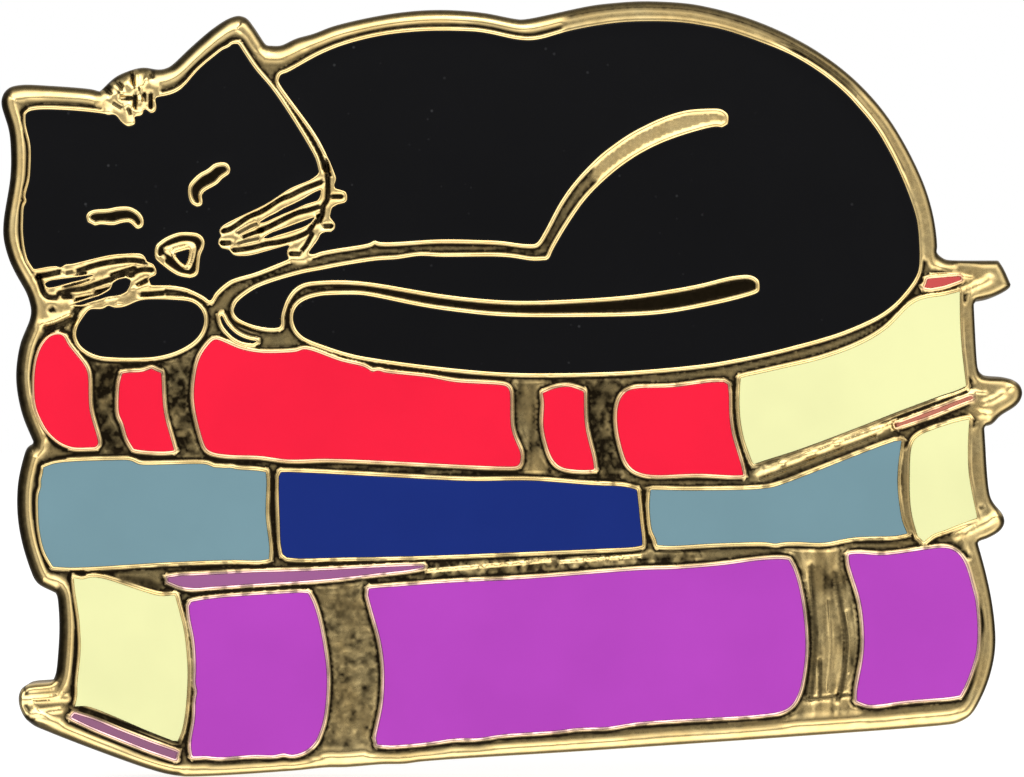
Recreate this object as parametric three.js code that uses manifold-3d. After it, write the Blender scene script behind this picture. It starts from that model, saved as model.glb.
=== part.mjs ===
// Hard-enamel lapel pin: a sleeping cat on a stack of three books.
//
// Frame (millimetres): the picture side lies in the XZ plane and faces -Y, +X is to the
// viewer's right, +Z is up. The smooth panel on the back of the plate is the plane y = 0 and
// the pin posts stand out of the back along +Y. The origin is the middle of that panel.
//
// The plate is one die-struck piece of metal. Its raised lines are what is left between the
// recessed cells, and each cell holds its own body of set enamel. Two nail-like posts are
// soldered to the back, and a butterfly clutch is pushed on each post.

import * as THREE from 'three';
import { mergeVertices } from 'three/addons/utils/BufferGeometryUtils.js';
import Module from 'manifold-3d';

// ---------------------------------------------------------------- driving dimensions (mm)
const PLATE_THICKNESS = 1.7;    // back panel to line tops
const CELL_DEPTH = 0.55;        // line tops down to the floor of a cell
const ENAMEL_SINK = 0.03;       // enamel surface below the line tops
const CELL_CLEARANCE = 0.02;    // enamel to the cell's wall and floor

const BACK_FIELD_DEPTH = 0.06;  // back field, below the smooth panel
const PANEL_HALF_WIDTH = 2.8;   // smooth rectangular panel in the middle of the back
const PANEL_HALF_HEIGHT = 4.2;
const PANEL_ROOT_DEPTH = 0.4;   // how far the panel block reaches into the plate

const POST_SPACING = 18.0;
const POST_Z = 0.0;
const POST_RADIUS = 0.575;
const POST_PAD_RADIUS = 2.5;    // soldered foot
const POST_PAD_THICKNESS = 0.35;
const POST_TIP_Y = 8.6;
const POST_TIP_LENGTH = 1.5;
const GROOVE_Y = 6.45;          // middle of the locking groove
const GROOVE_RADIUS = 0.43;
const GROOVE_HALF_FLOOR = 0.14;
const GROOVE_HALF_MOUTH = 0.3;
const SOLDER_GAP = 0.01;        // plate to pad

const CLUTCH_Y = 0.9;           // shell base, clutch pushed home
const SHELL_RADIUS = 5.7;
const SHELL_HEIGHT = 2.6;
const SHELL_WALL = 0.4;
const SHELL_HOLE_RADIUS = 0.72;
const SHELL_LIP_RADIUS = 4.7;   // mouth inside the curled lip

const SPRING_THICKNESS = 0.3;
const SPRING_Y = 1.75;          // underside, above the shell base
const SPRING_HALF_LENGTH = 4.95;
const SPRING_HALF_WIDTH = 1.7;
const SPRING_HOLE_RADIUS = 0.95;

const WING_THICKNESS = 0.32;
const WING_HALF_WIDTH = 3.0;
const WING_CORNER_RADIUS = 1.3;
const WING_TOP_Y = 6.95;        // above the shell base
const WING_TRIM = 0.02;         // cut off the top of the bent strip
const JAW_HALF_WIDTH = 1.4;
const JAW_TOP_Y = 1.7;          // the strip widens from jaw to wing between these two
const WING_SHOULDER_Y = 3.4;
const NOTCH_RADIUS = 0.66;      // half-round notch round the post
const NOTCH_HEIGHT = 2;
const NOTCH_MIDDLE_Y = 0.9;

const OVERCUT = 0.5;            // how far cutting solids run past the metal

const SHELL_SEGMENTS = 20;
const POST_SEGMENTS = 14;
const FACE_CURVE_SEGMENTS = 10; // curves of sections in the XZ plane
const WING_CURVE_SEGMENTS = 6;
const SPRING_END_STEPS = 6;

// ---------------------------------------------------------------- finishes
const GOLD = { color: 0xcfae62, roughness: 0.28, metalness: 1.0 };
const STEEL = { color: 0xd2c9b4, roughness: 0.25, metalness: 1.0 };
const BLACK = { color: 0x17161a, roughness: 0.15, metalness: 0.0 };
const RED = { color: 0xfa2a45, roughness: 0.18, metalness: 0.0 };
const CREAM = { color: 0xf5f4b7, roughness: 0.18, metalness: 0.0 };
const GREY_BLUE = { color: 0x7b9ba5, roughness: 0.18, metalness: 0.0 };
const NAVY = { color: 0x20307a, roughness: 0.18, metalness: 0.0 };
const PURPLE = { color: 0xb84dbf, roughness: 0.18, metalness: 0.0 };
const MAUVE = { color: 0x9a6694, roughness: 0.22, metalness: 0.0 };

// ---------------------------------------------------------------- outlines, [x, z]
const PLATE_OUTLINE = [
  [14.557, -10.014], [14.386, -10.226], [14.169, -10.389], [13.919, -10.496], [13.627, -10.545],
  [3.208, -11.301], [-2.793, -11.69], [-3.36, -11.762], [-4.058, -11.778], [-5.159, -11.87],
  [-5.851, -11.883], [-6.873, -11.979], [-10.065, -12.163], [-10.65, -12.127], [-11.5, -11.905],
  [-14.762, -10.695], [-15.008, -10.579], [-15.21, -10.402], [-15.377, -10.136], [-15.464, -9.875],
  [-15.463, -9.63], [-15.371, -9.425], [-15.207, -9.296], [-15.031, -9.248], [-14.447, -9.188],
  [-14.366, -9.125], [-14.299, -8.889], [-14.241, -8.345], [-14.201, -7.572], [-14.225, -6.869],
  [-14.271, -6.517], [-14.319, -6.417], [-14.819, -6.167], [-14.936, -6.051], [-15.027, -5.893],
  [-15.341, -4.958], [-15.503, -4.07], [-15.518, -3.206], [-15.434, -2.605], [-15.233, -1.905],
  [-15.157, -1.811], [-15.033, -1.732], [-15.011, -1.682], [-15.301, -0.996], [-15.43, -0.566],
  [-15.54, 0.068], [-15.548, 0.643], [-15.421, 1.412], [-15.131, 2.165], [-15.09, 2.438],
  [-15.131, 2.693], [-15.23, 2.988], [-15.601, 3.664], [-15.784, 4.072], [-15.946, 4.694],
  [-15.954, 5.205], [-15.742, 6.613], [-15.722, 7.398], [-15.782, 8.088], [-16.014, 8.892],
  [-16.009, 9.1], [-15.94, 9.279], [-15.848, 9.388], [-15.717, 9.472], [-15.37, 9.538],
  [-14.606, 9.513], [-13.17, 9.392], [-12.931, 9.324], [-12.457, 9.765], [-12.058, 9.96],
  [-11.591, 10.077], [-11.028, 10.02], [-10.772, 10.088], [-10.593, 10.218], [-10.077, 10.708],
  [-9.379, 11.303], [-8.905, 11.606], [-8.605, 11.703], [-8.422, 11.676], [-8.263, 11.574],
  [-7.75, 10.837], [-7.677, 10.769], [-7.307, 10.764], [-7.176, 10.796], [-6.772, 10.985],
  [-6.216, 11.14], [-5.552, 11.386], [-3.968, 11.734], [-2.81, 11.867], [-1.845, 11.875],
  [-0.855, 11.787], [0.118, 11.603], [0.36, 11.587], [2.469, 12.013], [3.121, 12.095],
  [4.165, 12.157], [5.533, 12.085], [6.276, 11.949], [6.934, 11.779], [7.559, 11.577],
  [8.287, 11.284], [8.936, 10.964], [9.499, 10.639], [10.246, 10.119], [10.932, 9.518],
  [11.585, 8.794], [12.11, 8.037], [12.691, 6.957], [13.047, 6.079], [13.266, 5.201],
  [13.349, 4.437], [13.331, 4.293], [13.362, 4.229], [13.591, 4.064], [13.766, 4.029],
  [15.275, 4.016], [15.437, 3.762], [15.664, 3.261], [15.622, 3.157], [15.29, 2.945],
  [14.818, 2.763], [14.573, 2.742], [14.492, 2.645], [14.581, 0.962], [14.614, 0.658],
  [14.656, 0.529], [14.803, 0.424], [15.41, 0.358], [15.747, 0.26], [15.951, 0.097],
  [16.025, -0.131], [15.972, -0.349], [15.82, -0.544], [15.34, -0.861], [15.059, -1.13],
  [14.86, -1.182], [14.822, -1.233], [14.994, -3.311], [15.094, -3.554], [15.411, -3.959],
  [15.467, -4.168], [15.416, -4.344], [15.27, -4.508], [14.927, -4.698], [14.663, -4.797],
  [14.625, -4.849], [14.888, -5.839], [15.05, -6.615], [15.151, -7.363], [15.178, -7.937],
  [15.135, -8.433], [15.002, -9.013], [14.812, -9.527],
];

// Each cell has an outline; islands are lines of metal left standing inside it.
const CELLS = [
  { name: 'enamel_cat_head', finish: BLACK, outline: [
    [-15.255, 8.626], [-15.15, 8.702], [-14.853, 8.756], [-13.706, 8.724], [-12.797, 8.623],
    [-12.657, 8.584], [-12.501, 8.604], [-12.413, 8.565], [-12.255, 8.372], [-12.097, 8.251],
    [-12.028, 8.229], [-11.932, 8.247], [-11.843, 8.289], [-11.804, 8.347], [-11.837, 8.545],
    [-11.69, 8.555], [-11.612, 8.589], [-11.569, 8.644], [-11.538, 8.775], [-11.494, 8.776],
    [-11.338, 8.649], [-11.255, 8.657], [-11.186, 8.706], [-11.147, 8.807], [-11.178, 9.098],
    [-11.153, 9.143], [-10.715, 9.235], [-10.452, 9.356], [-10.249, 9.531], [-9.818, 10.02],
    [-9.301, 10.46], [-9.07, 10.633], [-8.876, 10.723], [-8.766, 10.819], [-8.59, 10.824],
    [-8.08, 10.061], [-7.523, 9.397], [-6.738, 8.224], [-6.214, 7.329], [-6.141, 7.157],
    [-6.05, 6.801], [-6.089, 6.731], [-6.337, 6.552], [-6.922, 6.302], [-7.676, 5.816],
    [-9.084, 5.105], [-9.174, 4.976], [-9.172, 4.893], [-9.112, 4.788], [-9.204, 4.656],
    [-9.215, 4.549], [-9.119, 4.41], [-8.872, 4.355], [-8.746, 4.21], [-8.62, 4.166],
    [-8.314, 4.165], [-8.144, 4.192], [-7.01, 4.509], [-6.976, 4.463], [-7.038, 4.349],
    [-7.056, 4.239], [-6.993, 4.064], [-8.033, 3.654], [-8.644, 3.477], [-8.848, 3.392],
    [-9.129, 3.181], [-9.324, 2.978], [-9.436, 2.785], [-9.49, 2.755], [-9.653, 2.887],
    [-10.045, 3.088], [-10.266, 3.167], [-10.684, 3.234], [-11.325, 3.242], [-11.393, 3.459],
    [-11.174, 3.56], [-11.142, 3.635], [-11.157, 3.732], [-11.246, 3.908], [-11.444, 3.988],
    [-11.549, 4.178], [-11.667, 4.239], [-12.123, 4.238], [-12.624, 4.192], [-13.793, 3.922],
    [-14.014, 3.894], [-14.162, 3.794], [-14.289, 3.84], [-14.514, 3.833], [-14.996, 3.744],
    [-15.177, 4.029], [-15.218, 4.14], [-15.287, 4.449], [-15.332, 4.888], [-15.333, 5.238],
    [-15.292, 5.744], [-15.211, 5.883], [-15.257, 6.026], [-15.136, 6.541], [-15.1, 6.927],
    [-15.105, 7.639], [-15.25, 8.299],
  ], islands: [
    // nose ring
    [
      [-11.206, 4.38], [-11.207, 4.156], [-11.174, 4.063], [-11.124, 4.009], [-10.519, 3.566],
      [-10.169, 3.477], [-10.071, 3.473], [-9.92, 3.526], [-9.835, 3.629], [-9.757, 4.184],
      [-9.647, 4.462], [-9.636, 4.611], [-9.714, 4.777], [-9.87, 4.877], [-10.241, 4.918],
      [-10.477, 4.899], [-10.814, 4.771], [-11.006, 4.653], [-11.153, 4.518],
    ],
    // closed eye, viewer's left
    [
      [-13.371, 5.4], [-13.318, 5.228], [-13.079, 5.109], [-12.919, 5.147], [-12.505, 5.126],
      [-12.226, 5.2], [-12.029, 5.216], [-11.964, 5.19], [-11.793, 5.028], [-11.714, 5.004],
      [-11.598, 5.064], [-11.543, 5.185], [-11.573, 5.368], [-11.703, 5.552], [-11.905, 5.676],
      [-12.086, 5.722], [-12.432, 5.703], [-12.638, 5.657], [-13.166, 5.605], [-13.313, 5.517],
    ],
    // closed eye, viewer's right
    [
      [-8.878, 7.036], [-8.96, 7.088], [-9.068, 7.113], [-9.326, 7.066], [-9.555, 6.893],
      [-9.795, 6.761], [-10.044, 6.531], [-10.14, 6.386], [-10.169, 6.202], [-10.141, 5.978],
      [-10.049, 5.803], [-9.893, 5.708], [-9.797, 5.722], [-9.726, 5.768], [-9.693, 5.842],
      [-9.713, 6.063], [-9.657, 6.171], [-9.242, 6.419], [-9.078, 6.589], [-8.861, 6.752],
      [-8.817, 6.878],
    ],
  ] },
  // back, haunch, foreleg strip and tail, in one cell
  { name: 'enamel_cat_body', finish: BLACK, outline: [
    [12.8, 3.866], [12.745, 3.617], [12.616, 3.365], [12.288, 2.939], [12.001, 2.644],
    [11.493, 2.282], [10.484, 1.827], [9.771, 1.59], [8.89, 1.35], [8.103, 1.153], [6.944, 0.913],
    [6.155, 0.781], [4.567, 0.617], [3.052, 0.522], [0.043, 0.494], [-2.366, 0.691],
    [-4.695, 1.015], [-5.265, 1.15], [-5.986, 1.388], [-6.371, 1.538], [-6.591, 1.67],
    [-6.77, 1.883], [-6.852, 2.153], [-6.822, 2.419], [-6.69, 2.631], [-6.433, 2.794],
    [-6.016, 2.903], [-5.757, 2.929], [-4.831, 2.94], [-4.476, 2.901], [-2.747, 2.555],
    [-1.559, 2.385], [-0.307, 2.267], [1.857, 2.24], [4.554, 2.325], [6.115, 2.58],
    [7.27, 2.852], [7.7, 2.993], [7.759, 3.035], [7.797, 3.111], [7.778, 3.369], [7.694, 3.472],
    [7.482, 3.563], [6.962, 3.534], [5.917, 3.287], [5.158, 3.141], [3.663, 2.928],
    [1.838, 2.799], [0.321, 2.754], [-0.733, 2.802], [-2.145, 2.955], [-4.483, 3.339],
    [-5.388, 3.402], [-6.09, 3.378], [-6.376, 3.346], [-6.587, 3.285], [-6.766, 3.182],
    [-6.917, 3.037], [-7.048, 2.839], [-7.143, 2.619], [-7.241, 2.26], [-7.244, 1.989],
    [-7.29, 1.93], [-7.448, 1.904], [-7.751, 1.922], [-8.24, 2.039], [-8.58, 2.21],
    [-8.687, 2.33], [-8.719, 2.435], [-8.692, 2.555], [-8.601, 2.722], [-8.257, 3.003],
    [-7.884, 3.207], [-6.661, 3.589], [-5.347, 3.848], [-4.269, 4.015], [-3.62, 4.06],
    [-2.861, 4.162], [-2.228, 4.134], [-0.469, 4.141], [0.011, 4.106], [0.661, 4.012],
    [1.101, 4.027], [1.193, 4.103], [1.328, 4.39], [1.779, 5.154], [2.333, 5.941], [2.883, 6.509],
    [3.436, 6.974], [4.086, 7.4], [4.792, 7.743], [5.681, 8.05], [6.429, 8.222], [6.611, 8.195],
    [6.79, 8.298], [6.818, 8.39], [6.813, 8.575], [6.745, 8.676], [6.633, 8.752], [6.498, 8.791],
    [6.317, 8.797], [5.664, 8.763], [5.249, 8.683], [4.738, 8.513], [4.075, 8.204],
    [3.661, 7.973], [3.249, 7.693], [2.712, 7.267], [1.976, 6.49], [1.54, 5.879], [1.026, 4.928],
    [0.831, 4.615], [0.745, 4.549], [0.438, 4.54], [-0.34, 4.636], [-0.972, 4.665],
    [-2.202, 4.687], [-4.133, 4.605], [-4.308, 4.666], [-4.456, 4.577], [-5.576, 4.381],
    [-6.006, 4.295], [-6.2, 4.228], [-6.343, 4.216], [-6.369, 4.241], [-6.362, 4.279],
    [-6.072, 4.681], [-5.99, 4.844], [-5.872, 4.907], [-5.664, 4.921], [-5.55, 5.029],
    [-5.53, 5.111], [-5.547, 5.182], [-5.702, 5.38], [-5.64, 5.679], [-5.47, 5.774],
    [-5.221, 5.843], [-5.159, 5.915], [-5.152, 6.011], [-5.186, 6.144], [-5.229, 6.199],
    [-5.547, 6.29], [-5.56, 6.395], [-5.505, 6.558], [-5.509, 6.629], [-5.937, 7.62],
    [-6.251, 8.145], [-7.268, 9.551], [-7.313, 9.663], [-7.267, 9.815], [-7.22, 9.866],
    [-7.057, 9.921], [-6.015, 10.487], [-5.271, 10.787], [-4.103, 11.078], [-2.785, 11.221],
    [-1.216, 11.211], [-0.736, 11.149], [0.153, 10.963], [0.584, 10.935], [0.918, 10.978],
    [1.83, 11.232], [2.866, 11.428], [3.804, 11.521], [5.254, 11.503], [6.174, 11.37],
    [6.723, 11.249], [7.685, 10.927], [8.732, 10.5], [9.65, 9.953], [10.443, 9.313],
    [11.025, 8.685], [11.352, 8.28], [11.57, 7.961], [12.141, 6.894], [12.655, 5.565],
    [12.765, 5.015],
  ] },
  // oval fore paw under the chin
  { name: 'enamel_cat_forepaw', finish: BLACK, outline: [
    [-9.668, 2.263], [-9.664, 2.055], [-9.719, 1.852], [-9.834, 1.65], [-9.993, 1.484],
    [-10.225, 1.325], [-10.528, 1.177], [-10.813, 1.082], [-11.156, 1.009], [-11.525, 0.977],
    [-12.458, 0.978], [-12.954, 1.027], [-13.224, 1.125], [-13.444, 1.266], [-13.587, 1.429],
    [-13.662, 1.628], [-13.662, 1.806], [-13.6, 2.001], [-13.515, 2.15], [-13.263, 2.463],
    [-13.168, 2.49], [-12.847, 2.503], [-12.658, 2.607], [-12.466, 2.539], [-12.187, 2.563],
    [-11.608, 2.777], [-10.394, 2.767], [-10.123, 2.733], [-9.954, 2.664], [-9.821, 2.559],
    [-9.723, 2.423],
  ] },
  // triangle inside the nose ring
  { name: 'enamel_nose', finish: BLACK, outline: [
    [-10.566, 4.255], [-10.378, 4.311], [-10.126, 4.38], [-10.139, 4.192], [-10.183, 4.003],
    [-10.246, 3.878], [-10.362, 3.956], [-10.503, 4.113],
  ] },
  // slivers between the right-hand whiskers, upper then lower
  { name: 'enamel_whisker_gap_1', finish: BLACK, outline: [
    [-7.944, 5.197], [-7.709, 5.354], [-7.395, 5.511], [-7.143, 5.661], [-6.861, 5.793],
    [-6.547, 5.95], [-6.233, 6.139], [-5.982, 6.252], [-6.013, 6.044], [-6.092, 5.903],
    [-6.453, 5.793], [-6.829, 5.621], [-7.143, 5.495], [-7.457, 5.354], [-7.771, 5.219],
  ] },
  { name: 'enamel_whisker_gap_2', finish: BLACK, outline: [
    [-7.803, 4.726], [-7.583, 4.867], [-7.269, 4.989], [-6.924, 5.115], [-6.578, 5.244],
    [-6.17, 5.391], [-6.296, 5.222], [-6.484, 5.102], [-6.767, 4.996], [-7.081, 4.895],
    [-7.395, 4.801], [-7.646, 4.719],
  ] },
  // sliver between the left-hand whiskers
  { name: 'enamel_whisker_gap_3', finish: BLACK, outline: [
    [-14.664, 3.297], [-14.491, 3.382], [-14.177, 3.432], [-13.8, 3.482], [-13.423, 3.532],
    [-13.078, 3.576], [-13.423, 3.438], [-13.8, 3.344], [-14.114, 3.256], [-14.428, 3.181],
    [-14.585, 3.168],
  ] },
  // pocket between the left-hand whiskers and the fore paw
  { name: 'enamel_whisker_gap_4', finish: BLACK, outline: [
    [-13.8, 2.641], [-13.486, 2.747], [-13.235, 2.829], [-12.984, 2.904], [-12.795, 2.992],
    [-12.591, 3.137], [-12.525, 3.313], [-12.356, 3.419], [-12.105, 3.476], [-11.96, 3.407],
    [-11.998, 3.218], [-12.092, 3.043], [-12.324, 2.936], [-12.67, 2.886], [-12.952, 2.798],
    [-13.235, 2.716], [-13.518, 2.622],
  ] },
  // crescent to the right of the fore paw
  { name: 'enamel_paw_crescent', finish: BLACK, outline: [
    [-9.153, 2.261], [-9.097, 2.302], [-8.996, 2.088], [-8.808, 1.849], [-8.588, 1.674],
    [-8.305, 1.548], [-7.991, 1.485], [-8.117, 1.416], [-8.431, 1.46], [-8.713, 1.598],
    [-8.933, 1.805], [-9.078, 2.013],
  ] },
  // top book, spine panels from left to right
  { name: 'enamel_red_spine_1', finish: RED, outline: [
    [-14.319, 1.688], [-14.171, 1.687], [-14.07, 1.629], [-13.932, 1.383], [-13.449, 0.769],
    [-13.346, 0.572], [-13.301, 0.342], [-13.258, -0.642], [-12.987, -1.688], [-13.003, -1.777],
    [-13.083, -1.838], [-13.703, -1.847], [-13.947, -1.792], [-14.157, -1.694], [-14.382, -1.522],
    [-14.588, -1.296], [-14.871, -0.746], [-14.952, -0.432], [-14.978, -0.082], [-14.968, 0.453],
    [-14.907, 0.877], [-14.812, 1.185], [-14.681, 1.424], [-14.499, 1.618],
  ] },
  { name: 'enamel_red_spine_2', finish: RED, outline: [
    [-10.708, -1.94], [-10.821, -1.97], [-11.74, -1.918], [-11.85, -1.87], [-11.94, -1.769],
    [-12.064, -1.535], [-12.198, -1.065], [-12.312, -0.84], [-12.301, 0.146], [-12.244, 0.358],
    [-12.15, 0.465], [-11.986, 0.506], [-11.633, 0.508], [-11.363, 0.601], [-11.08, 0.506],
    [-11.003, 0.437], [-10.921, -0.739], [-10.64, -1.804],
  ] },
  { name: 'enamel_red_spine_3', finish: RED, outline: [
    [0.267, -2.338], [0.194, -2.424], [0.051, -2.448], [-5.73, -2.203], [-7.003, -2.225],
    [-7.921, -2.113], [-8.981, -2.07], [-9.415, -1.989], [-9.581, -1.871], [-9.727, -1.505],
    [-9.939, -0.577], [-9.965, -0.027], [-9.835, 0.808], [-9.69, 1.133], [-9.442, 1.45],
    [-9.358, 1.516], [-9.252, 1.532], [-8.514, 1.237], [-7.948, 1.124], [-7.293, 1.113],
    [-6.754, 1.153], [-6.495, 1.226], [-5.36, 0.853], [-4.619, 0.667], [-4.375, 0.514],
    [-4.173, 0.555], [-3.992, 0.503], [-2.59, 0.344], [-1.794, 0.199], [-0.203, 0.076],
    [-0.115, 0.018], [-0.062, -0.089], [-0.023, -1.142], [0.064, -1.508], [0.277, -2.042],
  ] },
  { name: 'enamel_red_spine_4', finish: RED, outline: [
    [2.481, -2.53], [2.379, -2.558], [1.666, -2.497], [1.446, -2.392], [1.291, -2.208],
    [1.121, -1.752], [1.006, -1.175], [1.033, -0.426], [1.002, -0.238], [1.095, -0.114],
    [1.366, 0.003], [1.801, 0.055], [2.199, -0.086], [2.265, -0.148], [2.308, -1.17],
    [2.576, -2.366], [2.557, -2.456],
  ] },
  { name: 'enamel_red_spine_5', finish: RED, outline: [
    [7.232, -2.673], [7.158, -2.715], [6.953, -2.725], [5.843, -2.673], [4.494, -2.716],
    [4.118, -2.667], [3.848, -2.557], [3.69, -2.41], [3.577, -2.204], [3.349, -1.299],
    [3.33, -0.7], [3.385, -0.43], [3.472, -0.237], [3.64, -0.079], [3.892, -0.006],
    [5.054, 0.036], [6.446, 0.198], [6.712, 0.151], [6.801, -0.013], [6.838, -0.84],
    [6.919, -1.42], [7.242, -2.567],
  ] },
  // top book, slivers of the upper and lower covers
  { name: 'enamel_red_cover_upper', finish: RED, outline: [
    [13.062, 3.438], [13.518, 3.476], [14.02, 3.495], [14.133, 3.438], [13.832, 3.313],
    [13.455, 3.2], [13.078, 3.175],
  ] },
  { name: 'enamel_red_cover_lower', finish: RED, outline: [
    [14.491, -0.204], [13.926, -0.424], [13.392, -0.631], [12.701, -0.895], [12.105, -1.115],
    [12.061, -1.209], [12.638, -1.02], [13.329, -0.776], [13.957, -0.518], [14.491, -0.311],
  ] },
  // page blocks of the three books
  { name: 'enamel_pages_top', finish: CREAM, outline: [
    [7.181, 0.173], [7.2, 0.267], [7.269, 0.342], [7.803, 0.474], [8.745, 0.688], [9.687, 0.914],
    [10.629, 1.24], [11.32, 1.573], [11.822, 1.915], [12.167, 2.261], [12.419, 2.528],
    [12.701, 2.735], [13.015, 2.842], [13.58, 2.923], [13.989, 3.024], [14.083, 2.98],
    [14.089, 2.214], [14.133, 1.366], [14.227, 0.518], [14.271, 0.173], [14.146, 0.016],
    [13.455, -0.235], [12.199, -0.706], [10.629, -1.322], [9.059, -1.906], [7.96, -2.258],
    [7.696, -2.339], [7.583, -2.327], [7.476, -2.088], [7.313, -1.617], [7.206, -1.115],
    [7.156, -0.487],
  ] },
  { name: 'enamel_pages_middle', finish: CREAM, outline: [
    [12.544, -1.9], [12.626, -1.648], [12.733, -1.523], [12.996, -1.378], [13.455, -1.209],
    [13.894, -1.064], [14.322, -0.97], [14.378, -1.052], [14.353, -1.429], [14.34, -1.931],
    [14.353, -2.559], [14.447, -3.187], [14.604, -3.941], [14.617, -4.035], [14.491, -4.117],
    [14.083, -4.267], [13.549, -4.481], [13.235, -4.581], [13.047, -4.745], [12.921, -4.757],
    [12.777, -4.631], [12.657, -4.317], [12.563, -3.909], [12.513, -3.47], [12.5, -2.873],
  ] },
  { name: 'enamel_pages_bottom', finish: CREAM, outline: [
    [-10.518, -11.042], [-10.616, -11.051], [-11.265, -10.817], [-13.339, -9.978],
    [-13.617, -9.974], [-13.7, -9.925], [-13.64, -9.634], [-13.641, -9.293], [-13.535, -8.173],
    [-13.575, -7.289], [-13.733, -6.04], [-13.686, -5.951], [-13.465, -6], [-13.28, -5.931],
    [-12.915, -5.946], [-11.029, -6.514], [-10.663, -6.507], [-10.539, -6.59], [-10.301, -7.523],
    [-10.2, -8.319], [-10.169, -9.018], [-10.26, -10.305], [-10.399, -10.894],
  ] },
  // middle book, spine ends
  { name: 'enamel_blue_spine_left', finish: GREY_BLUE, outline: [
    [-7.617, -5.235], [-7.714, -5.356], [-7.851, -5.398], [-8.847, -5.387], [-10.764, -5.458],
    [-13.819, -5.625], [-14.346, -5.597], [-14.435, -5.522], [-14.666, -5.124], [-14.822, -4.457],
    [-14.862, -3.892], [-14.848, -3.282], [-14.758, -3.065], [-14.8, -2.882], [-14.727, -2.725],
    [-14.714, -2.582], [-14.553, -2.422], [-14.214, -2.333], [-12.648, -2.258], [-11.927, -2.27],
    [-11.746, -2.379], [-11.638, -2.399], [-9.678, -2.371], [-9.52, -2.398], [-9.337, -2.506],
    [-9.184, -2.477], [-8.99, -2.515], [-8.835, -2.478], [-8.688, -2.535], [-7.836, -2.611],
    [-7.743, -2.684], [-7.701, -2.794], [-7.719, -3.99], [-7.603, -4.991],
  ] },
  { name: 'enamel_blue_spine_right', finish: GREY_BLUE, outline: [
    [4.333, -3.683], [4.357, -3.287], [4.467, -3.181], [5.93, -3.203], [8.08, -3.124],
    [8.613, -2.968], [12.006, -1.676], [12.141, -1.671], [12.228, -1.791], [12.132, -2.561],
    [12.135, -3.21], [12.278, -4.186], [12.377, -4.426], [12.324, -4.539], [12.211, -4.606],
    [10.762, -4.675], [9.792, -4.844], [8.947, -4.817], [8.439, -4.839], [8.291, -4.888],
    [8.091, -4.836], [6.509, -4.86], [4.789, -4.935], [4.571, -4.872], [4.529, -4.688],
    [4.428, -4.526],
  ] },
  // middle book, dark label panel
  { name: 'enamel_navy_label', finish: NAVY, outline: [
    [-7.3, -2.873], [-7.269, -2.729], [-7.143, -2.641], [-6.641, -2.641], [-4.129, -2.766],
    [-1.303, -2.904], [0.581, -2.892], [2.465, -3.03], [3.595, -3.093], [3.846, -3.175],
    [3.947, -3.281], [3.991, -3.689], [4.047, -4.255], [4.104, -4.757], [4.079, -4.914],
    [3.941, -4.964], [2.779, -5.033], [0.267, -5.14], [-2.873, -5.259], [-5.385, -5.31],
    [-6.892, -5.322], [-7.112, -5.241], [-7.219, -5.04], [-7.275, -4.129], [-7.3, -3.501],
  ] },
  // bottom book, spine panels from left to right
  { name: 'enamel_purple_spine_1', finish: PURPLE, outline: [
    [-9.973, -11.494], [-10.037, -11.397], [-10.059, -11.143], [-9.934, -10.357],
    [-9.908, -9.719], [-9.854, -9.523], [-9.917, -9.308], [-9.902, -8.8], [-9.945, -7.962],
    [-10.107, -7.045], [-10.072, -6.782], [-9.912, -6.684], [-7.046, -6.436], [-6.543, -6.422],
    [-6.411, -6.474], [-6.317, -6.569], [-6.198, -6.843], [-6.073, -7.266], [-5.904, -8.125],
    [-5.805, -9.002], [-5.88, -10.229], [-6.025, -10.786], [-6.191, -11.129], [-6.495, -11.387],
    [-6.927, -11.505], [-7.177, -11.439], [-7.377, -11.503], [-8.149, -11.505],
    [-9.178, -11.577], [-9.682, -11.529], [-9.843, -11.548],
  ] },
  { name: 'enamel_purple_spine_2', finish: PURPLE, outline: [
    [8.824, -5.609], [9.003, -6.154], [9.141, -6.892], [9.222, -7.682], [9.225, -8.344],
    [9.128, -9.112], [9.005, -9.583], [8.814, -9.921], [8.55, -10.11], [7.889, -10.229],
    [4.005, -10.476], [2.974, -10.629], [2.09, -10.657], [1.427, -10.74], [-0.305, -10.864],
    [-1.034, -10.974], [-1.821, -10.993], [-2.623, -11.108], [-3.82, -11.206], [-4.076, -11.191],
    [-4.219, -11.05], [-4.231, -10.906], [-4.033, -9.903], [-3.99, -8.891], [-4.089, -8],
    [-4.475, -6.512], [-4.458, -6.384], [-4.346, -6.278], [-2.009, -6.109], [0.474, -5.982],
    [4.188, -5.703], [5.031, -5.681], [6.556, -5.561], [7.959, -5.386], [8.613, -5.383],
    [8.713, -5.448],
  ] },
  { name: 'enamel_purple_spine_3', finish: PURPLE, outline: [
    [10.953, -9.84], [10.874, -9.752], [10.849, -9.61], [11.06, -8.335], [11.072, -7.525],
    [10.96, -6.648], [10.606, -5.434], [10.628, -5.274], [10.753, -5.203], [11.695, -5.238],
    [13.484, -5.006], [13.732, -5.027], [13.935, -5.111], [14.159, -5.349], [14.336, -5.774],
    [14.554, -6.579], [14.627, -7.283], [14.629, -7.896], [14.574, -8.35], [14.34, -9.094],
    [14.138, -9.525], [14.045, -9.622], [13.931, -9.664], [12.277, -9.813], [11.557, -9.918],
    [11.177, -9.928],
  ] },
  // bottom book, slivers of the upper and lower covers
  { name: 'enamel_purple_cover_upper', finish: MAUVE, outline: [
    [-10.786, -6.019], [-10.535, -5.906], [-9.938, -5.875], [-8.525, -5.8], [-6.327, -5.73],
    [-4.757, -5.655], [-3.501, -5.592], [-2.716, -5.573], [-3.124, -5.674], [-4.129, -5.793],
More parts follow.
